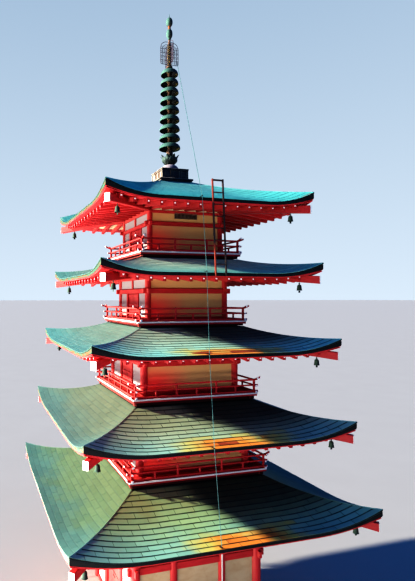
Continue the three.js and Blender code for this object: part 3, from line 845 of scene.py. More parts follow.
# %% [markdown]
# ## The roof's boards, edge and hips
# Under the sheets lies a curved deck of boards, and round it runs the eave's edge: a folded copper lip, a
# broad band of sheet, and a dark groove above and below the band. Each is one section carried along the
# side and mitred at the corners, where the edge grows thicker. The band grows with it: away from the
# corners it is narrower, and a strip of the red board shows below it. Over each hip lies a narrow folded
# strip that keeps water out of the joint between two slopes.

# %% Boards, edge and hips
HIP_WING = 0.035


def along_side(count=26):
    """Places along a side from corner to corner, closer together near the corners."""
    return [math.copysign(abs(t) ** 0.8, t) for t in steps(-1, 1, count)]


def roof_boards(bench, k, hole):
    """The curved deck under the sheets, carried round the four sides as one body."""
    flat, eave = roof_flat(k), STOREYS[k]["eave"]
    line = steps(eave - 0.014, flat, 11)
    level = roof_height(k, 0, flat)
    rings = []
    for _ in bench.sides():
        for t in along_side()[:-1]:
            top = [(t * u, -u, roof_height(k, t * u, u) - 0.0005) for u in line]
            under = [(t * u, -u, roof_height(k, t * u, u) - skin(k, t * u, u) + 0.001) for u in line[::-1]]
            middle = [(t * hole, -hole, level), (t * hole, -hole, level - ROOF_SKIN)]
            rings.append(bench.turned(top + middle + under))
    carried(bench, rings, EAVE_BLACK, closed=True)


def edge_layer(bench, k, finish, out, back, top, foot):
    """One layer of the eave's edge; top and foot are fractions of its thickness, mid-side and at a corner."""
    for _ in bench.sides():
        rings = []
        for t in along_side():
            def at(u, share):
                share = share[0] + (share[1] - share[0]) * abs(t) ** 7
                return (t * u, -u, roof_height(k, t * u, u) - share * skin(k, t * u, u))
            rings.append([at(out, top), at(out, foot), at(back, foot), at(back, top)])
        carried(bench, rings, finish)


def hip_strip(bench, k):
    flat, eave, wing = roof_flat(k) + 0.02, STOREYS[k]["eave"] - 0.004, HIP_WING
    for _ in bench.sides():
        rings, marks = [], []
        for u in steps(eave, flat, 16):
            low, high = roof_height(k, u - wing, u), roof_height(k, u, u)
            rings.append([(u - wing, -u, low + 0.016), (u, -u, high + 0.021), (u, -u + wing, low + 0.016),
                          (u, -u + wing, low + 0.008), (u, -u, high + 0.008), (u - wing, -u, low + 0.008)])
            marks += [(0.5, 1 - (eave - u) / (eave - flat), 1.0)] * 6
        carried(bench, rings, mark=marks)


print("hip strips", 2 * HIP_WING, "m wide")

# %% Cover the five roofs
TOP_HOLE, WALL_THICK = 0.3, 0.3
MIDDLE_LIP, TOP_LIP = 0.015, 0.009
# The two eave_black layers are the grooves, painted near black as shade.
EDGE_LAYERS = ((LIP_METAL, 0.0, (-0.05, -0.05), (0.09, 0.12)), (EAVE_BLACK, 0.02, (0.09, 0.12), (0.18, 0.22)),
               (BAND_METAL, 0.006, (0.18, 0.22), (0.76, 0.88)), (EAVE_BLACK, 0.02, (0.76, 0.88), (0.84, 1.0)),
               (RED_RAIL, 0.012, (0.84, 1.0), (1.02, 1.02)))

for k in range(len(STOREYS)):
    roof = Bench(f"copper_roof_{k + 1}", ROOF_COPPER[k])
    print(lay_courses(roof, k, TOP_LIP if k == TOP else MIDDLE_LIP), "courses and sheets")
    roof_boards(roof, k, TOP_HOLE if k == TOP else STOREYS[k + 1]["half"] - WALL_THICK)
    eave = STOREYS[k]["eave"]
    for finish, inset, top, foot in EDGE_LAYERS:
        edge_layer(roof, k, finish, eave - inset, eave - 0.06, top, foot)
    hip_strip(roof, k)
    roof.done(f"roof_{k + 1}")

# %% [markdown]
# ## Eaves: fascia, boards and rafters
# From below, a deep eave is a fan of red rafters under thin boards, with a narrow fascia under the roof's
# edge. Each rafter ends a hand's breadth inside the edge, and its cut end has a small pale metal plate:
# from the front the plates are a row of pale dots. In the middle the rafters stand square to the wall, and
# past the wall's corner they stop against the hip rafter. Every rafter is one section carried out along the
# underside of the eave, so it rises with the corner as the real ones are shimmed to do.

# %% Rafters and boards
RAFTER_STEP, RAFTER_WIDE, RAFTER_SETBACK, BOARD = 0.37, 0.09, 0.2, 0.19
CREAM_REACH = {FRONT: 0.42, BACK: 1.3}


# The front takes the darker red of painted shade.
def rafter_paint(side):
    return SHADED_FRONT_RAFTER if side == FRONT else RED_RAIL


def lay_rafters(bench, k):
    s = STOREYS[k]
    out = s["eave"] - RAFTER_SETBACK
    count = int((out - 0.22) / RAFTER_STEP)
    for i in range(-count, count + 1):
        x = i * RAFTER_STEP
        start = max(s["half"] - s["post"] - 0.08, abs(x) + 0.07)
        if start > out - 0.12:
            continue
        rings = []
        for u in steps(start, out, 7):
            low = rafter_foot(k, x, u)
            section = planed(*around(x, RAFTER_WIDE / 2), low, low + RAFTER_DEEP, 0.006)
            rings.append([(px, -u, z) for px, z in section])
        carried(bench, rings, rafter_paint(bench.side))
        low = rafter_foot(k, x, out)
        plate = (low + 0.062, low + 0.1)
        block(bench, around(x, 0.023), (-out - 0.005, -out + 0.001), plate, CAP_PAINT, 0.002)


def lay_ceiling(bench, k):
    """Boards along the eave on top of the rafters, cream near the wall where the side has a reach for it."""
    s = STOREYS[k]
    start, rim = s["half"] - s["post"] - 0.1, s["eave"] - 0.024
    lines = steps(start, rim, round((rim - start) / BOARD))
    for inner, outer in zip(lines, lines[1:]):
        cream = bench.side in CREAM_REACH and inner < s["half"] + CREAM_REACH[bench.side]
        rings = []
        for t in along_side(18):
            def at(u, up):
                return (t * u, -u, rafter_foot(k, t * u, u) + RAFTER_DEEP + up)
            rings.append([at(inner + 0.004, 0.001), at(outer - 0.004, 0.001), at(outer - 0.004, 0.02),
                          at(inner + 0.004, 0.02)])
        carried(bench, rings, CREAM_BOARD if cream else RED_BOARD)


def lay_fascia(bench, k):
    rim = STOREYS[k]["eave"] - 0.02
    rings = []
    for t in along_side():
        def at(u, drop):
            return (t * u, -u, roof_height(k, t * u, u) - skin(k, t * u, u) - drop)
        rings.append([at(rim, 0.0), at(rim - 0.002, 0.012), at(rim - 0.006, 0.016), at(rim - 0.05, 0.016),
                      at(rim - 0.05, 0.0)])
    carried(bench, rings, rafter_paint(bench.side))


def close_gaps(bench, k):
    """A board on edge over the wall, which closes the gaps between the rafters."""
    wall = STOREYS[k]["half"] - STOREYS[k]["post"]
    inner, outer = wall - 0.09, wall + 0.03
    low, top = wall_head(k) - 0.004, wall_head(k) + RAFTER_DEEP
    rings = [[(t * outer, -outer, low), (t * outer, -outer, top), (t * inner, -inner, top),
              (t * inner, -inner, low)] for t in (-1, 1)]
    carried(bench, rings, CREAM_BOARD if bench.side in CREAM_REACH else RED_BOARD)


print("rafters", RAFTER_STEP, "m apart")

# %% [markdown]
# ## Hip rafters and bells
# A heavier rafter runs out under each hip and carries the corner. It is cut square and capped in white,
# and a small bronze bell hangs from a hook under it, so that the wind rings all five storeys. The rafter
# is a bent beam, straight in plan and curved from the side, so its section is carried along the diagonal.

# %% Hip rafters and bells
ROOT2 = math.sqrt(2)
BELL_INSET = 0.45


def across_hip(d, half, low, high, ease):
    """The hip rafter's section at a distance d along the diagonal."""
    return [((d + a) / ROOT2, -(d - a) / ROOT2, z) for a, z in planed(-half, half, low, high, ease)]


def hip_rafter(bench, k):
    """Lays the rafter and its white cap, and returns its line of (distance, underside, top)."""
    s = STOREYS[k]
    head, tip = wall_head(k), s["edge"] + s["lift"]
    back, out = (s["half"] - s["post"]) * ROOT2, (s["eave"] - 0.067) * ROOT2
    line = [(back, head - 0.045, head + 0.1), (back + 0.35, head - 0.06, head + 0.1)]
    for share in steps(0.25, 1, 8):
        sweep = share ** 1.5
        low = head - 0.06 + (tip - 0.575 - head + 0.06) * sweep
        high = head + 0.1 + (tip - 0.36 - head - 0.1) * sweep
        line.append((back + (out - back) * share, low, high))
    carried(bench, [across_hip(d, 0.075, low, high, 0.01) for d, low, high in line], rafter_paint(bench.side))
    d, low, high = line[-1]
    cap = [across_hip(d + step, 0.076, low - 0.001, high + 0.001, 0.006) for step in (0.0, 0.005)]
    carried(bench, cap, WHITE_PAINT)
    return line


def hang_bell(bench, k, line):
    u = STOREYS[k]["eave"] - BELL_INSET
    d = u * ROOT2
    inner, outer = [pair for pair in zip(line, line[1:]) if pair[0][0] <= d <= pair[1][0]][0]
    z = inner[1] + (outer[1] - inner[1]) * (d - inner[0]) / (outer[0] - inner[0])
    drawn(bench, [(u, -u, z + 0.01), (u, -u, z - 0.06)], 0.008, 8, BELL_BRONZE)
    ring = [(u + 0.022 * math.cos(a), -u, z - 0.05 + 0.022 * math.sin(a)) for a in steps(0, 6.0, 12)]
    drawn(bench, ring, 0.006, 6, BELL_BRONZE)
    wall = [(0.0, -0.07), (0.026, -0.075), (0.05, -0.09), (0.058, -0.12), (0.062, -0.17), (0.07, -0.215),
            (0.078, -0.235), (0.074, -0.237), (0.064, -0.215), (0.055, -0.17), (0.05, -0.12), (0.0, -0.1)]
    lathed(bench, wall, 20, (u, -u), BELL_BRONZE, z)
    drawn(bench, [(u, -u, z - 0.1), (u, -u, z - 0.21)], 0.005, 6, BELL_BRONZE)
    clapper = [(0, -0.2), (0.016, -0.206), (0.02, -0.222), (0.012, -0.238), (0, -0.242)]
    lathed(bench, clapper, 10, (u, -u), BELL_BRONZE, z)
    block(bench, around(u, 0.03), around(-u, 0.002), (z - 0.3, z - 0.245), BELL_BRONZE, 0.0008)


print("bells hang", BELL_INSET, "m inside the eaves")

# %% Build the five eaves
for k in range(len(STOREYS)):
    eaves = Bench(f"eaves_boards_{k + 1}", RED_RAIL)
    for _ in eaves.sides():
        lay_rafters(eaves, k)
        lay_ceiling(eaves, k)
        lay_fascia(eaves, k)
        hang_bell(eaves, k, hip_rafter(eaves, k))
        close_gaps(eaves, k)
    eaves.done(f"eaves_{k + 1}")

# %% [markdown]
# ## The timber frame
# Round posts stand at the corners, and on the ground storey two more on each side. A sill beam runs round
# their feet and a head beam at door height, whose ends cross and stand proud of the corner posts. On the
# upper storeys the left and right walls have door jambs and a short strut over the head beam. Posts are
# turned on the lathe, slightly eased at both ends, and beams are planed blocks. Where beams of two sides
# cross, one is a few millimetres lower, so that their faces never lie in the same place.

# %% Raise the frames
MID_POST, MID_RADIUS = 0.75, 0.11
SILL, HEAD_PROUD, CROSSING = 0.11, 0.09, 0.003
JAMB = 0.055


def post(bench, x, y, radius, low, high):
    profile = [(0, low), (radius - 0.01, low), (radius, low + 0.012), (radius, high - 0.06),
               (radius - 0.012, high), (0, high)]
    lathed(bench, profile, 28, (x, y))


for k, s in enumerate(STOREYS):
    timber = Bench(f"timber_frame_{k + 1}", RED_POST)
    p, top, end, floor = s["half"] - s["post"], wall_head(k), s["half"] + HEAD_PROUD, s["floor"]
    for side in timber.sides():
        drop, across = CROSSING * (side % 2), (-p - 0.07, -p + 0.03)
        post(timber, -p, -p, s["post"], floor, top)
        block(timber, around(0, p + 0.07), across, (floor, floor + SILL - drop), RED_BEAM, 0.01)
        block(timber, around(0, end), across, (s["beam"][0] + drop, s["beam"][1] - drop), RED_BEAM, 0.012)
        block(timber, around(0, p), (-p - 0.045, -p + 0.03), (top - 0.09, top - 0.003 - drop),
              RED_BEAM, 0.008)
        if k == 0:
            for x in (-MID_POST, MID_POST):
                post(timber, x, -p, MID_RADIUS, floor, top)
        elif side in (RIGHT, LEFT):
            for x in around(0, s["door"] + JAMB):
                block(timber, around(x, JAMB), (-p - 0.06, -p + 0.03), (floor + 0.1, s["beam"][0] + 0.01),
                      RED_BEAM, 0.008)
            block(timber, around(0, 0.045), (-p - 0.06, -p + 0.03), (s["beam"][1] - 0.01, top - 0.08),
                  RED_BEAM, 0.008)
    timber.done(f"frame_{k + 1}")

# %% [markdown]
# ## The doors
# In the middle of the left and right walls is a pair of boarded doors between the jambs. Each leaf is four
# upright boards held by three ledges, and the two leaves meet at a rebated edge with a small iron ring on
# each. The boards' gaps are real, a few millimetres wide, so they read as lines in low light.

# %% Hang the doors
BOARDS_A_LEAF, LEDGE, PULL_OUT = 4, 0.07, 0.06


def hang_doors(k, side, name, node):
    s = STOREYS[k]
    doors = Bench(name, RED_BOARD)
    doors.side = side
    p = s["half"] - s["post"]
    half, low, high, face = s["door"] - 0.004, s["floor"] + 0.113, s["beam"][0] - 0.003, -p - 0.012
    for leaf in (-1, 1):
        edges = steps(0.003, half, BOARDS_A_LEAF)
        for a, b in zip(edges, edges[1:]):
            x = sorted((leaf * (a + 0.002), leaf * (b - 0.002)))
            block(doors, x, (face, -p + 0.01), (low, high), ease=0.003)
        for z in (low + 0.03, (low + high) / 2 - LEDGE / 2, high - 0.1):
            x = sorted((leaf * 0.012, leaf * (half - 0.008)))
            block(doors, x, (face - 0.016, face + 0.001), (z, z + LEDGE), RED_BEAM, 0.004)
        x, z = leaf * PULL_OUT, low + (high - low) * 0.47
        disc = [(0, 0), (0.026, 0.001), (0.03, 0.004), (0.02, 0.007), (0, 0.009)]
        rings = [[(x + max(r, PIP) * math.cos(a), face - y, z + max(r, PIP) * math.sin(a))
                  for a in all_round(14)] for r, y in disc]
        carried(doors, rings, BLACK_IRON)
        ring = [(x + 0.026 * math.sin(a), face - 0.013, z - 0.028 + 0.026 * math.cos(a))
                for a in steps(0.2, 2 * math.pi - 0.2, 14)]
        drawn(doors, ring, 0.0035, 6, BLACK_IRON)
    doors.done(node)


for k in range(len(STOREYS)):
    hang_doors(k, LEFT, f"boarded_doors_left_{k + 1}", f"door_left_{k + 1}")
    hang_doors(k, RIGHT, f"boarded_doors_right_{k + 1}", f"door_right_{k + 1}")

# %% [markdown]
# ## Balconies
# Each balcony is a floor of narrow boards laid from front to back, held by a ring beam that stands on
# the roof below, its red darkened almost to black as painted shade. A narrow white board covers the cut
# ends all round, with a red one under it. The white board is the pale line under every railing.
# The boards are laid one by one, with a few millimetres between them and slightly different tones.

# %% Lay the balconies
DECK_BOARD, EDGE_BOARD = 0.15, 0.03

for k, s in enumerate(STOREYS[1:], 1):
    deck = Bench(f"balcony_floor_{k + 1}", RED_BOARD)
    d, top = s["deck"], s["floor"]
    below = roof_height(k - 1, 0, roof_flat(k - 1)) + 0.022
    edges = steps(-d + 0.032, d - 0.032, round(2 * d / DECK_BOARD))
    for a, b in zip(edges, edges[1:]):
        block(deck, (a + 0.0025, b - 0.0025), around(0, d - 0.034), (top - 0.032, top - 0.001), ease=0.003)
    block(deck, around(0, d - 0.05), around(0, d - 0.05), (top - 0.095, top - 0.034), RED_BEAM, 0.004)
    for side in deck.sides():
        gap = (EDGE_BOARD + 0.001) * (side % 2)
        block(deck, around(0, d - gap), (-d, -d + EDGE_BOARD), (top - 0.048, top), WHITE_PAINT, 0.007)
        block(deck, around(0, d - 0.012 - gap), (-d + 0.012, -d + 0.045), (top - 0.098, top - 0.048),
              RED_BEAM, 0.004)
        # The ring beam, painted almost black as shade.
        block(deck, around(0, d - 0.06), (-d + 0.09, -d + 0.22), (below, top - 0.096), SHADED_BEAM, 0.01)
    deck.done(f"balcony_{k + 1}")

# %% [markdown]
# ## Railings
# The railing has three rails. All of them run past the corner post and cross the rails of the next side,
# and the ends of the top rail turn up like the eaves above. Full posts stand at the corners and at the
# thirds of each side, and short struts between them reach only from the base rail to the middle one. Each
# rail end is capped in pale metal. The top rail is a section carried along a line that bends up.

# %% A rail
RAIL_INSET, MIDDLE_RAIL, TOP_RAIL = 0.075, 0.19, 0.345


def rail(bench, k, line, wide, tall, ease):
    """A rail along (x, z) points at the railing's place, with a pale cap on each end."""
    y = -(STOREYS[k]["deck"] - RAIL_INSET)
    rings = [[(x, y + dy, z + dz) for dy, dz in planed(*around(0, wide / 2), 0, tall, ease)] for x, z in line]
    carried(bench, rings)
    for (x, z), (x2, z2) in ((line[0], line[1]), (line[-1], line[-2])):
        along = Vector((x - x2, 0, z - z2)).normalized()
        rings = [[(x + along.x * step, y + dy, z + along.z * step + dz)
                  for dy, dz in planed(*around(0, wide / 2 + 0.003), -0.003, tall + 0.003, ease)]
                 for step in (-0.012, 0.004)]
        carried(bench, rings, CAP_PAINT)


print("rails at", MIDDLE_RAIL, "and", TOP_RAIL, "m over the floor")

# %% Build the railings
for k, s in enumerate(STOREYS[1:], 1):
    railing = Bench(f"railing_{k + 1}", RED_RAIL)
    u, z, past, reach = s["deck"] - RAIL_INSET, s["floor"] + 0.0005, s["deck"] + 0.05, s["deck"] + 0.126
    for side in railing.sides():
        up = 0.001 * (side % 2)
        rail(railing, k, [(-past, z + up), (past, z + up)], 0.052, 0.058, 0.007)
        rail(railing, k, [(-past, z + MIDDLE_RAIL + up), (past, z + MIDDLE_RAIL + up)], 0.04, 0.042, 0.006)
        bend = [(reach - 0.22 * (1 - f), z + TOP_RAIL + up + 0.066 * f ** 1.6) for f in steps(1, 0, 5)]
        rail(railing, k, [(-x, h) for x, h in bend] + bend[::-1], 0.046, 0.046, 0.008)
        block(railing, around(-u, 0.027), around(-u, 0.027), (z, z + 0.36))
        for share in (-1 / 3, 1 / 3):
            block(railing, around(u * share, 0.025), around(-u, 0.022), (z + 0.05, z + 0.352), ease=0.005)
        for share in (-2 / 3, 0, 2 / 3):
            block(railing, around(u * share, 0.024), around(-u, 0.019), (z + 0.05, z + 0.196), ease=0.005)
        stud = [(0, 0.39), (0.013, 0.391), (0.014, 0.396), (0.006, 0.402), (0, 0.403)]
        for x in (-u, -u / 3, u / 3):
            lathed(railing, stud, 10, (x, -u), BLACK_IRON, z)
    railing.done(f"railing_{k + 1}")

# %% [markdown]
# ## The vent and the ladder
# High in the front wall of the top storey is a dark grille: a frame with upright slats before a recess.
# The ladder hangs on the fourth eave and leans past the fifth. Its stiles are flat bars and its rungs are
# round, and only the left stile has rusted through its paint. Both are small, but the eye finds them at
# once, because nothing else on the front is dark and straight.

# %% The vent grille
VENT_HALF, VENT_LOW, VENT_HIGH, BAR = 0.37, 12.52, 12.7, 0.022
vent = Bench("vent_slats", SLAT_IRON)
face = -(STOREYS[TOP]["half"] - STOREYS[TOP]["post"] + 0.02)
# The back plate is painted near black as the shade of the recess.
block(vent, around(0, VENT_HALF - 0.008), (face - 0.008, face - 0.001), (VENT_LOW + 0.008, VENT_HIGH - 0.008),
      EAVE_BLACK, 0.001)
for z in (VENT_LOW, VENT_HIGH - BAR):
    block(vent, around(0, VENT_HALF), (face - 0.03, face - 0.001), (z, z + BAR), ease=0.004)
between_bars = (VENT_LOW + BAR - 0.001, VENT_HIGH - BAR + 0.001)
for x in (-VENT_HALF, VENT_HALF - BAR):
    block(vent, (x, x + BAR), (face - 0.0295, face - 0.001), between_bars, ease=0.004)
for x in steps(-0.315, 0.315, 14):
    block(vent, around(x, BAR / 2), (face - 0.024, face - 0.006), between_bars, ease=0.003)
vent.done("vent_grille")

# %% The ladder
STILE, RUNGS, FIRST_RUNG, RUNG_STEP = 0.152, 8, 0.31, 0.318
ladder = Bench("iron_ladder", BLACK_IRON)
foot, head = Vector((0, -3.275, 10.7)), Vector((0, -3.105, 13.27))
lean = (head - foot).normalized()
square = Vector((0, -lean.z, lean.y))
section = planed(*around(0, 0.017), *around(0, 0.024), 0.004)
for x, finish in ((-STILE, RUSTY_IRON), (STILE, BLACK_IRON)):
    rings = [[tuple(point + Vector((x + a, 0, 0)) + square * b) for a, b in section]
             for point in (foot, foot + lean * 0.01, head - lean * 0.01, head)]
    carried(ladder, rings, finish)
    drawn(ladder, [(x, -3.2, 10.812), (x, -3.24, 10.814), (x, -3.275, 10.82)], 0.009)
at = head - lean * 0.02
drawn(ladder, [(-0.15, at.y, at.z), (0.15, at.y, at.z)], 0.014, 12)
for step in range(RUNGS):
    at = foot + lean * (FIRST_RUNG + RUNG_STEP * step)
    drawn(ladder, [(-0.15, at.y, at.z), (0.15, at.y, at.z)], 0.014, 12)
    for x, finish in ((-0.136, RUSTY_IRON), (0.136, BLACK_IRON)):
        drawn(ladder, [(x - 0.006, at.y, at.z), (x + 0.006, at.y, at.z)], 0.02, 12, finish)
ladder.done("ladder")

# %% [markdown]
# ## The lightning wire
# A thin green wire comes down from the spire's flame in front of the tower, held by a clip at the edge of
# each roof, and goes on under the lowest eave in a pale pipe. It is fixed all the way, not a loose cord,
# so it is drawn straight from clip to clip.

# %% The wire and its pipe
WIRE = 0.007
wire = Bench("lightning_wire", GREEN_WIRE)
route = [(0.255, -0.0204, 17.95)]
for k, x in ((4, -0.44), (3, -0.4), (2, -0.5), (1, -0.51), (0, -0.52)):
    eave = STOREYS[k]["eave"]
    y = -(eave + 0.02) if k else -(eave - 0.04)
    z = roof_height(k, x, eave - 0.05) + 0.022
    route.append((x, y, z + 0.006))
    block(wire, around(x, 0.02), (y - 0.012, -(eave - 0.12)), around(z, 0.004), BLACK_IRON, 0.002)
    nut = [(0, 0.002), (0.016, 0.003), (0.016, 0.018), (0.009, 0.022), (0, 0.023)]
    lathed(wire, nut, 10, (x, y), BLACK_IRON, z)
drawn(wire, route, WIRE)
wire.done("lightning_wire")

pipe = Bench("down_pipe", PALE_PIPE)
s = STOREYS[0]
px, py = 0.705, -(s["half"] - s["post"] + MID_RADIUS * math.cos(math.pi / 8)) - 0.0343
top = wall_head(0) - 0.08
lathed(pipe, [(0, s["floor"] + 0.0005), (0.022, s["floor"] + 0.001), (0.022, top - 0.004), (0.019, top),
              (0, top)], 16, (px, py))
for z in (1.0, 2.0, 3.0, 3.9):
    lathed(pipe, [(0, z - 0.016), (0.026, z - 0.015), (0.026, z + 0.015), (0, z + 0.016)], 16, (px, py),
           BLACK_IRON)
    block(pipe, (px - 0.005, px + 0.05), (py, py + 0.036), around(z, 0.014), BLACK_IRON, 0.003)
under = soffit_level(0, s["eave"] - 0.23)
drawn(pipe, [(px, py, top - 0.01), (px, py, top + 0.012), (px - 0.05, py - 0.06, top + 0.012),
             (-0.52, -s["eave"] + 0.26, under - 0.012)], WIRE, finish=GREEN_WIRE)
block(pipe, around(-0.52, 0.02), around(-s["eave"] + 0.25, 0.02), (under - 0.02, under - 0.001),
      BLACK_IRON, 0.003)
pipe.done("down_pipe")

# %% [markdown]
# ## The spire
# A bronze spire stands on a square base box: a dome, a bowl of lotus petals, nine rings on a mast, an
# openwork flame and a jewel in two parts. Dome, mast, rings and jewel are turned, so they come off the
# lathe. The rings are hollow below, like lids, and their undersides are painted near black as shade, with
# a painted golden glint inside where they face the left, so each shows a green rim over a black hollow
# from the ground. The petals are cast one by one round the bowl.

# %% The base box
base = Bench("spire_base_box", BOX_BRONZE)
flat = roof_height(TOP, 0, TOP_FLAT)
box_top, face, back = 14.2, -0.452, -0.426
for half, low, high, ease in ((0.54, flat + 0.0005, flat + 0.05, 0.006),
                              (0.57, flat + 0.05, flat + 0.1, 0.01),
                              (0.432, flat + 0.1, box_top, 0.004), (0.465, 14.234, 14.27, 0.008)):
    block(base, around(0, half), around(0, half), (low, high), ease=ease)
for _ in base.sides():
    for low, high in ((flat + 0.099, flat + 0.13), (box_top, box_top + 0.036)):
        block(base, (face, -face), (face, back), (low, high), ease=0.005)
    for x, wide in ((-0.424, 0.028), (-0.147, 0.014), (0.147, 0.014), (0.424, 0.028)):
        block(base, around(x, wide), (face + 0.002, back), (flat + 0.128, box_top + 0.002), ease=0.004)
    for x in (-0.283, 0.0, 0.283):
        block(base, around(x, 0.07), (face + 0.013, back), (flat + 0.155, box_top - 0.024), ease=0.008)
base.done("spire_base")

# %% The dome and the lotus
bowl = Bench("spire_lotus", LOTUS_BRONZE)
dome = [(0, 14.2705), (0.279, 14.271), (0.283, 14.3)]
dome += [(0.282 * math.cos(a), 14.332 + 0.175 * math.sin(a)) for a in steps(0, 1.15, 10)]
lathed(bowl, [*dome, (0, 14.506)], 40, finish=PALE_BRONZE)
cup = [(0, 14.49), (0.1, 14.5), (0.124, 14.507), (0.148, 14.528), (0.188, 14.55), (0.212, 14.572),
       (0.226, 14.62), (0.224, 14.68), (0.208, 14.704), (0.17, 14.713), (0.11, 14.716), (0.108, 14.79),
       (0, 14.799)]
lathed(bowl, cup, 40)


def petal(bench, turn, foot, length, wide, spread):
    """A broad petal that follows the cup's bulge; only its tip curls outward."""
    rings = []
    for v in steps(0.0, 1.0, 12):
        r = 0.15 + 0.092 * math.sin(min(1.0, v * 1.7) * math.pi / 2) + spread * max(0.0, v - 0.7) ** 1.3
        half = wide * math.sin(math.pi * (0.2 + 0.8 * v) ** 0.9) ** 0.6
        ring = []
        for w, thick in ((-1, 0), (-0.5, 0.010), (0, 0.014), (0.5, 0.010), (1, 0), (0.5, -0.004), (0, -0.006),
                         (-0.5, -0.004)):
            out = r - 0.9 * (w * half) ** 2 + thick
            angle = turn + math.atan2(w * half, r)
            ring.append((out * math.cos(angle), out * math.sin(angle), foot + length * v))
        rings.append(ring)
    carried(bench, rings)


for i in range(8):
    petal(bowl, math.pi / 4 * (i + 0.15), 14.512, 0.286, 0.094, 0.33)
    petal(bowl, math.pi / 4 * (i + 0.65), 14.52, 0.21, 0.085, -0.08)
bowl.done("spire_bowl")

# %% The mast and its nine rings
RINGS, FIRST_RING, RING_STEP = 9, 15.104, 0.3055
WIDEST_RING, RING_TAPER = 0.344, 0.008
mast = Bench("spire_nine_rings", RING_BRONZE)
lathed(mast, [(0, 14.8005), (0.1, 14.801), (0.105, 14.83), (0.104, 14.95), (0.068, 14.99), (0.068, 17.68),
              (0.09, 17.69), (0.1, 17.705), (0.1, 17.74), (0.09, 17.752), (0.05, 17.78), (0.05, 18.54),
              (0.033, 18.59), (0.033, 19.1), (0, 19.1)], 32, finish=BROWN_BRONZE)
for i in range(RINGS):
    z, r = FIRST_RING + i * RING_STEP, WIDEST_RING - i * RING_TAPER
    outer = [(r - 0.008, -0.095), (r, -0.088), (r * 0.995, -0.055), (r * 0.95, -0.01), (r * 0.87, 0.026),
             (r * 0.75, 0.058), (r * 0.6, 0.081), (r * 0.42, 0.097), (0.085, 0.106), (0.08, 0.112)]
    inner = [(0.066, 0.112), (0.066, 0.092), (r * 0.42, 0.083), (r * 0.59, 0.067), (r * 0.73, 0.045),
             (r * 0.84, 0.015), (r * 0.915, -0.02), (r * 0.96, -0.058), (r - 0.015, -0.094)]
    rings = [[(radius * math.cos(a), radius * math.sin(a), z + dz) for radius, dz in outer + inner]
             for a in all_round(44)]
    carried(mast, rings, closed=True)
    hub = [(0.066, -0.04), (0.085, -0.035), (0.095, 0.02), (0.11, 0.09), (0.066, 0.1)]
    lathed(mast, hub, base=z)
mast.done("spire_rings")

# %% [markdown]
# The flame is four upright screens of cast bronze scrolls. Each is an outer frame with a rounded shoulder,
# two inner frames and rows of small rings between them, all drawn as thin rods.

# %% The openwork flame
FLAME_FOOT, FLAME_INNER = 17.81, 0.06
flame = Bench("spire_flame_scrolls", FLAME_BRONZE)
lathed(flame, [(0, 17.79), (0.064, 17.792), (0.068, 17.84), (0.068, 18.43), (0.06, 18.47), (0, 18.471)], 20,
       finish=SPECKLED_BRONZE)
outline = [(0.06, 17.818), (0.225, 17.812), (0.28, 17.818), (0.308, 17.84), (0.315, 17.9), (0.316, 18.01),
           (0.315, 18.19), (0.312, 18.34), (0.3, 18.41), (0.272, 18.475), (0.222, 18.522), (0.145, 18.556),
           (0.06, 18.562)]
for _ in flame.sides():
    for share, radius in ((1.0, 0.008), (0.76, 0.006), (0.52, 0.006)):
        path = [(FLAME_INNER + (r - FLAME_INNER) * share, 0,
                 FLAME_FOOT + (z - FLAME_FOOT) * (0.5 + 0.5 * share)) for r, z in outline]
        drawn(flame, path, radius)
    for z in (17.94, 18.07, 18.2, 18.33):
        drawn(flame, [(FLAME_INNER, 0, z), (0.308, 0, z)], 0.005, 6)
    for column, r in enumerate((0.12, 0.184, 0.246, 0.284)):
        size = 0.022 if column < 3 else 0.015
        for row in range(8):
            z = 17.875 + row * 0.072 + 0.012 * (column % 2)
            if z > 18.49 - 0.1 * max(0.0, r - 0.17) / 0.13:
                continue
            hook = [(r + size * math.cos(a), 0, z + size * math.sin(a)) for a in steps(0.4, 5.9, 10)]
            drawn(flame, hook, 0.0042, 6)
    for row in range(6):
        z = 17.88 + row * 0.09
        curl = [(0.315 + 0.003 * math.sin(a * 2), 0.013 * math.cos(a), z + 0.013 * math.sin(a))
                for a in steps(0.0, 5.6, 8)]
        drawn(flame, curl, 0.0035, 6)
flame.done("spire_flame")

# %% The jewel
jewel = Bench("spire_jewel_turned", BRONZE)
lower = [(0, 18.64), (0.044, 18.641), (0.05, 18.66), (0.056, 18.685), (0.078, 18.72), (0.094, 18.76),
         (0.102, 18.81), (0.102, 18.86), (0.094, 18.915), (0.076, 18.955), (0.054, 18.982), (0, 18.99)]
neck = [(0, 18.98), (0.05, 18.981), (0.046, 19.0), (0.046, 19.06), (0.052, 19.088), (0, 19.09)]
upper = [(0, 19.085), (0.056, 19.088), (0.08, 19.115), (0.098, 19.155), (0.107, 19.2), (0.107, 19.24),
         (0.099, 19.29), (0.078, 19.335), (0.046, 19.366), (0.018, 19.385), (0.009, 19.42), (0.004, 19.495),
         (0, 19.5)]
lathed(jewel, lower, 36)
lathed(jewel, neck, finish=NECK_BRONZE)
lathed(jewel, upper, 36)
jewel.done("spire_jewel")

# %% [markdown]
# ## The podium
# The photograph ends above the ground, so the podium is the usual one for such a tower: a plinth course, a
# course of upright blocks set back a hand's breadth, and a projecting cap of large slabs, with two steps
# at each door. Every stone is a block of its own with planed edges, round a plain core.

# %% Lay the stones
BASE_HALF, CORE_HALF, SET_BACK_HALF = 2.75, 2.5, 2.69
CAP_ROWS, STAIR_HALF = 6, 0.8
stones = Bench("podium_stones", STONE)


def stone_row(bench, x0, x1, y, z, size, ease=0.012):
    """A row of stones of about one size; the joints are a few millimetres wide."""
    count = max(1, round((x1 - x0) / size))
    lines = steps(x0, x1, count)
    for i in range(1, count):
        lines[i] += random.uniform(-0.06, 0.06)
    for a, b in zip(lines, lines[1:]):
        block(bench, (a + 0.003, b - 0.003), y, z, ease=ease)


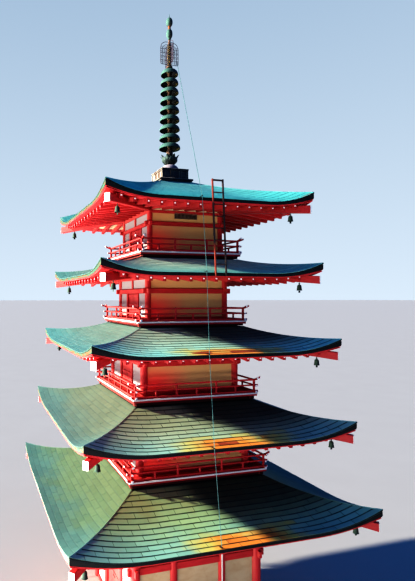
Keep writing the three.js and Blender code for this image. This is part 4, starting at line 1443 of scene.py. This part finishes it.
block(stones, around(0, CORE_HALF), around(0, CORE_HALF), (0.0, 0.366))
for side in stones.sides():
    for half, z, size in ((BASE_HALF, (0.0, 0.1), 1.1), (SET_BACK_HALF, (0.103, 0.367), 0.78)):
        inset = (half - CORE_HALF) * (side % 2)
        stone_row(stones, -half + inset, half - inset, (-half, -CORE_HALF), z, size)
for y0, y1 in zip(steps(-BASE_HALF, BASE_HALF, CAP_ROWS), steps(-BASE_HALF, BASE_HALF, CAP_ROWS)[1:]):
    stone_row(stones, -BASE_HALF, BASE_HALF, (y0 + 0.003, y1 - 0.003), (0.37, 0.45), 0.92)
for _ in stones.sides(RIGHT, LEFT):
    for y, high in (((-3.08, -2.692), 0.3), ((-3.41, -3.083), 0.15)):
        stone_row(stones, -STAIR_HALF, STAIR_HALF, y, (0.0, high), 0.8, 0.016)
stones.done("podium")

# %% [markdown]
# ## Floor and light
# The building stands on a plain pale floor under a pale sky. The shadows in the photograph say where the
# sun is: to the left, a little behind the tower and low, so the left walls glow, each roof's right half
# lies in the shadow of the storey above, and the front gets only soft light. A soft sun lamp does that: its
# rays are parallel, so the shadows fall alike on all five roofs. Walls and eaves are lit from below by the
# ground, so a wide lamp lies on the floor on the left, and a weaker one in front. The sky sheds little
# light from above, or the shadows on the roofs would fill up, so what the camera sees as sky is kept apart
# from what lights the tower. The shadows in the photograph are almost black and its colours strong, so
# the picture is shown with a very high contrast.

# %% The floor
FAR = 3000
f = Finish("pale_floor", gloss=0.2)
mottle = f.spot.patches(0.35, 3, 0.5)
PALE_FLOOR = f.set(f.colour(0.36, 0.345, 0.32).over((0.34, 0.325, 0.30), mottle), 0.9)
floor_mesh = bpy.data.meshes.new("floor")
floor_mesh.from_pydata([(-FAR, -FAR, 0), (FAR, -FAR, 0), (FAR, FAR, 0), (-FAR, FAR, 0)], [], [[0, 1, 2, 3]])
floor_mesh.materials.append(PALE_FLOOR)
floor = placed("floor", floor_mesh)
floor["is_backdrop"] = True
print("floor of", 2 * FAR, "m")

# %% The sky
world = bpy.data.worlds.new("pale_sky")
bpy.context.scene.world = world
world.use_nodes = True
sky = Dye(world.node_tree, None)
height = sky.node("ShaderNodeTexCoord", out="Generated").axis("Z")
shine = height.ramp((0, (0.38, 0.52, 0.70)), (0.3, (0.10, 0.29, 0.72)), (1, (0.01, 0.06, 0.24)))
shown = height.ramp((0, (0.46, 0.52, 0.58)), (1, (0.16, 0.25, 0.36)))
seen = sky.node("ShaderNodeLightPath", out="Is Camera Ray")
background = world.node_tree.nodes["Background"]
world.node_tree.links.new(shine.over(shown, seen).socket, background.inputs["Color"])
print("the sky has", len(world.node_tree.nodes), "nodes")

# %% The lamps
SUN_RAYS = Vector((0.864, -0.259, -0.403))
sun = bpy.data.lights.new("low_sun", "SUN")
sun.energy, sun.angle, sun.color = 8.2, math.radians(2.2), (1.0, 0.94, 0.82)
sun_lamp = placed("low_sun", sun)
sun_lamp.rotation_euler = SUN_RAYS.to_track_quat("-Z", "Y").to_euler()


def ground_glow(name, place, wide, deep, power, colour):
    """The light the ground sends up: a wide lamp that lies on the floor and faces the sky."""
    lamp = bpy.data.lights.new(name, "AREA")
    lamp.shape, lamp.size, lamp.size_y, lamp.energy, lamp.color = "RECTANGLE", wide, deep, power, colour
    made = placed(name, lamp)
    made.location = place
    made.rotation_euler = (math.pi, 0, 0)


ground_glow("left_ground", (-21, -3, 0.02), 32, 36, 27000, (1.0, 0.95, 0.92))
ground_glow("front_ground", (3, -21, 0.02), 36, 32, 1500, (1.0, 0.92, 0.84))
bpy.context.scene.view_settings.view_transform = "Standard"
bpy.context.scene.view_settings.look = "Very High Contrast"
print("a soft sun, light from the ground and a pale sky")

# %% [markdown] ## Last measurements The dressed tower must be as large as its solids, no larger.

# %% Print the two boxes
visual_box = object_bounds()
for title, box in (("solids", cad_box), ("dressed", visual_box)):
    print(title, [[round(v, 3) for v in corner] for corner in box])
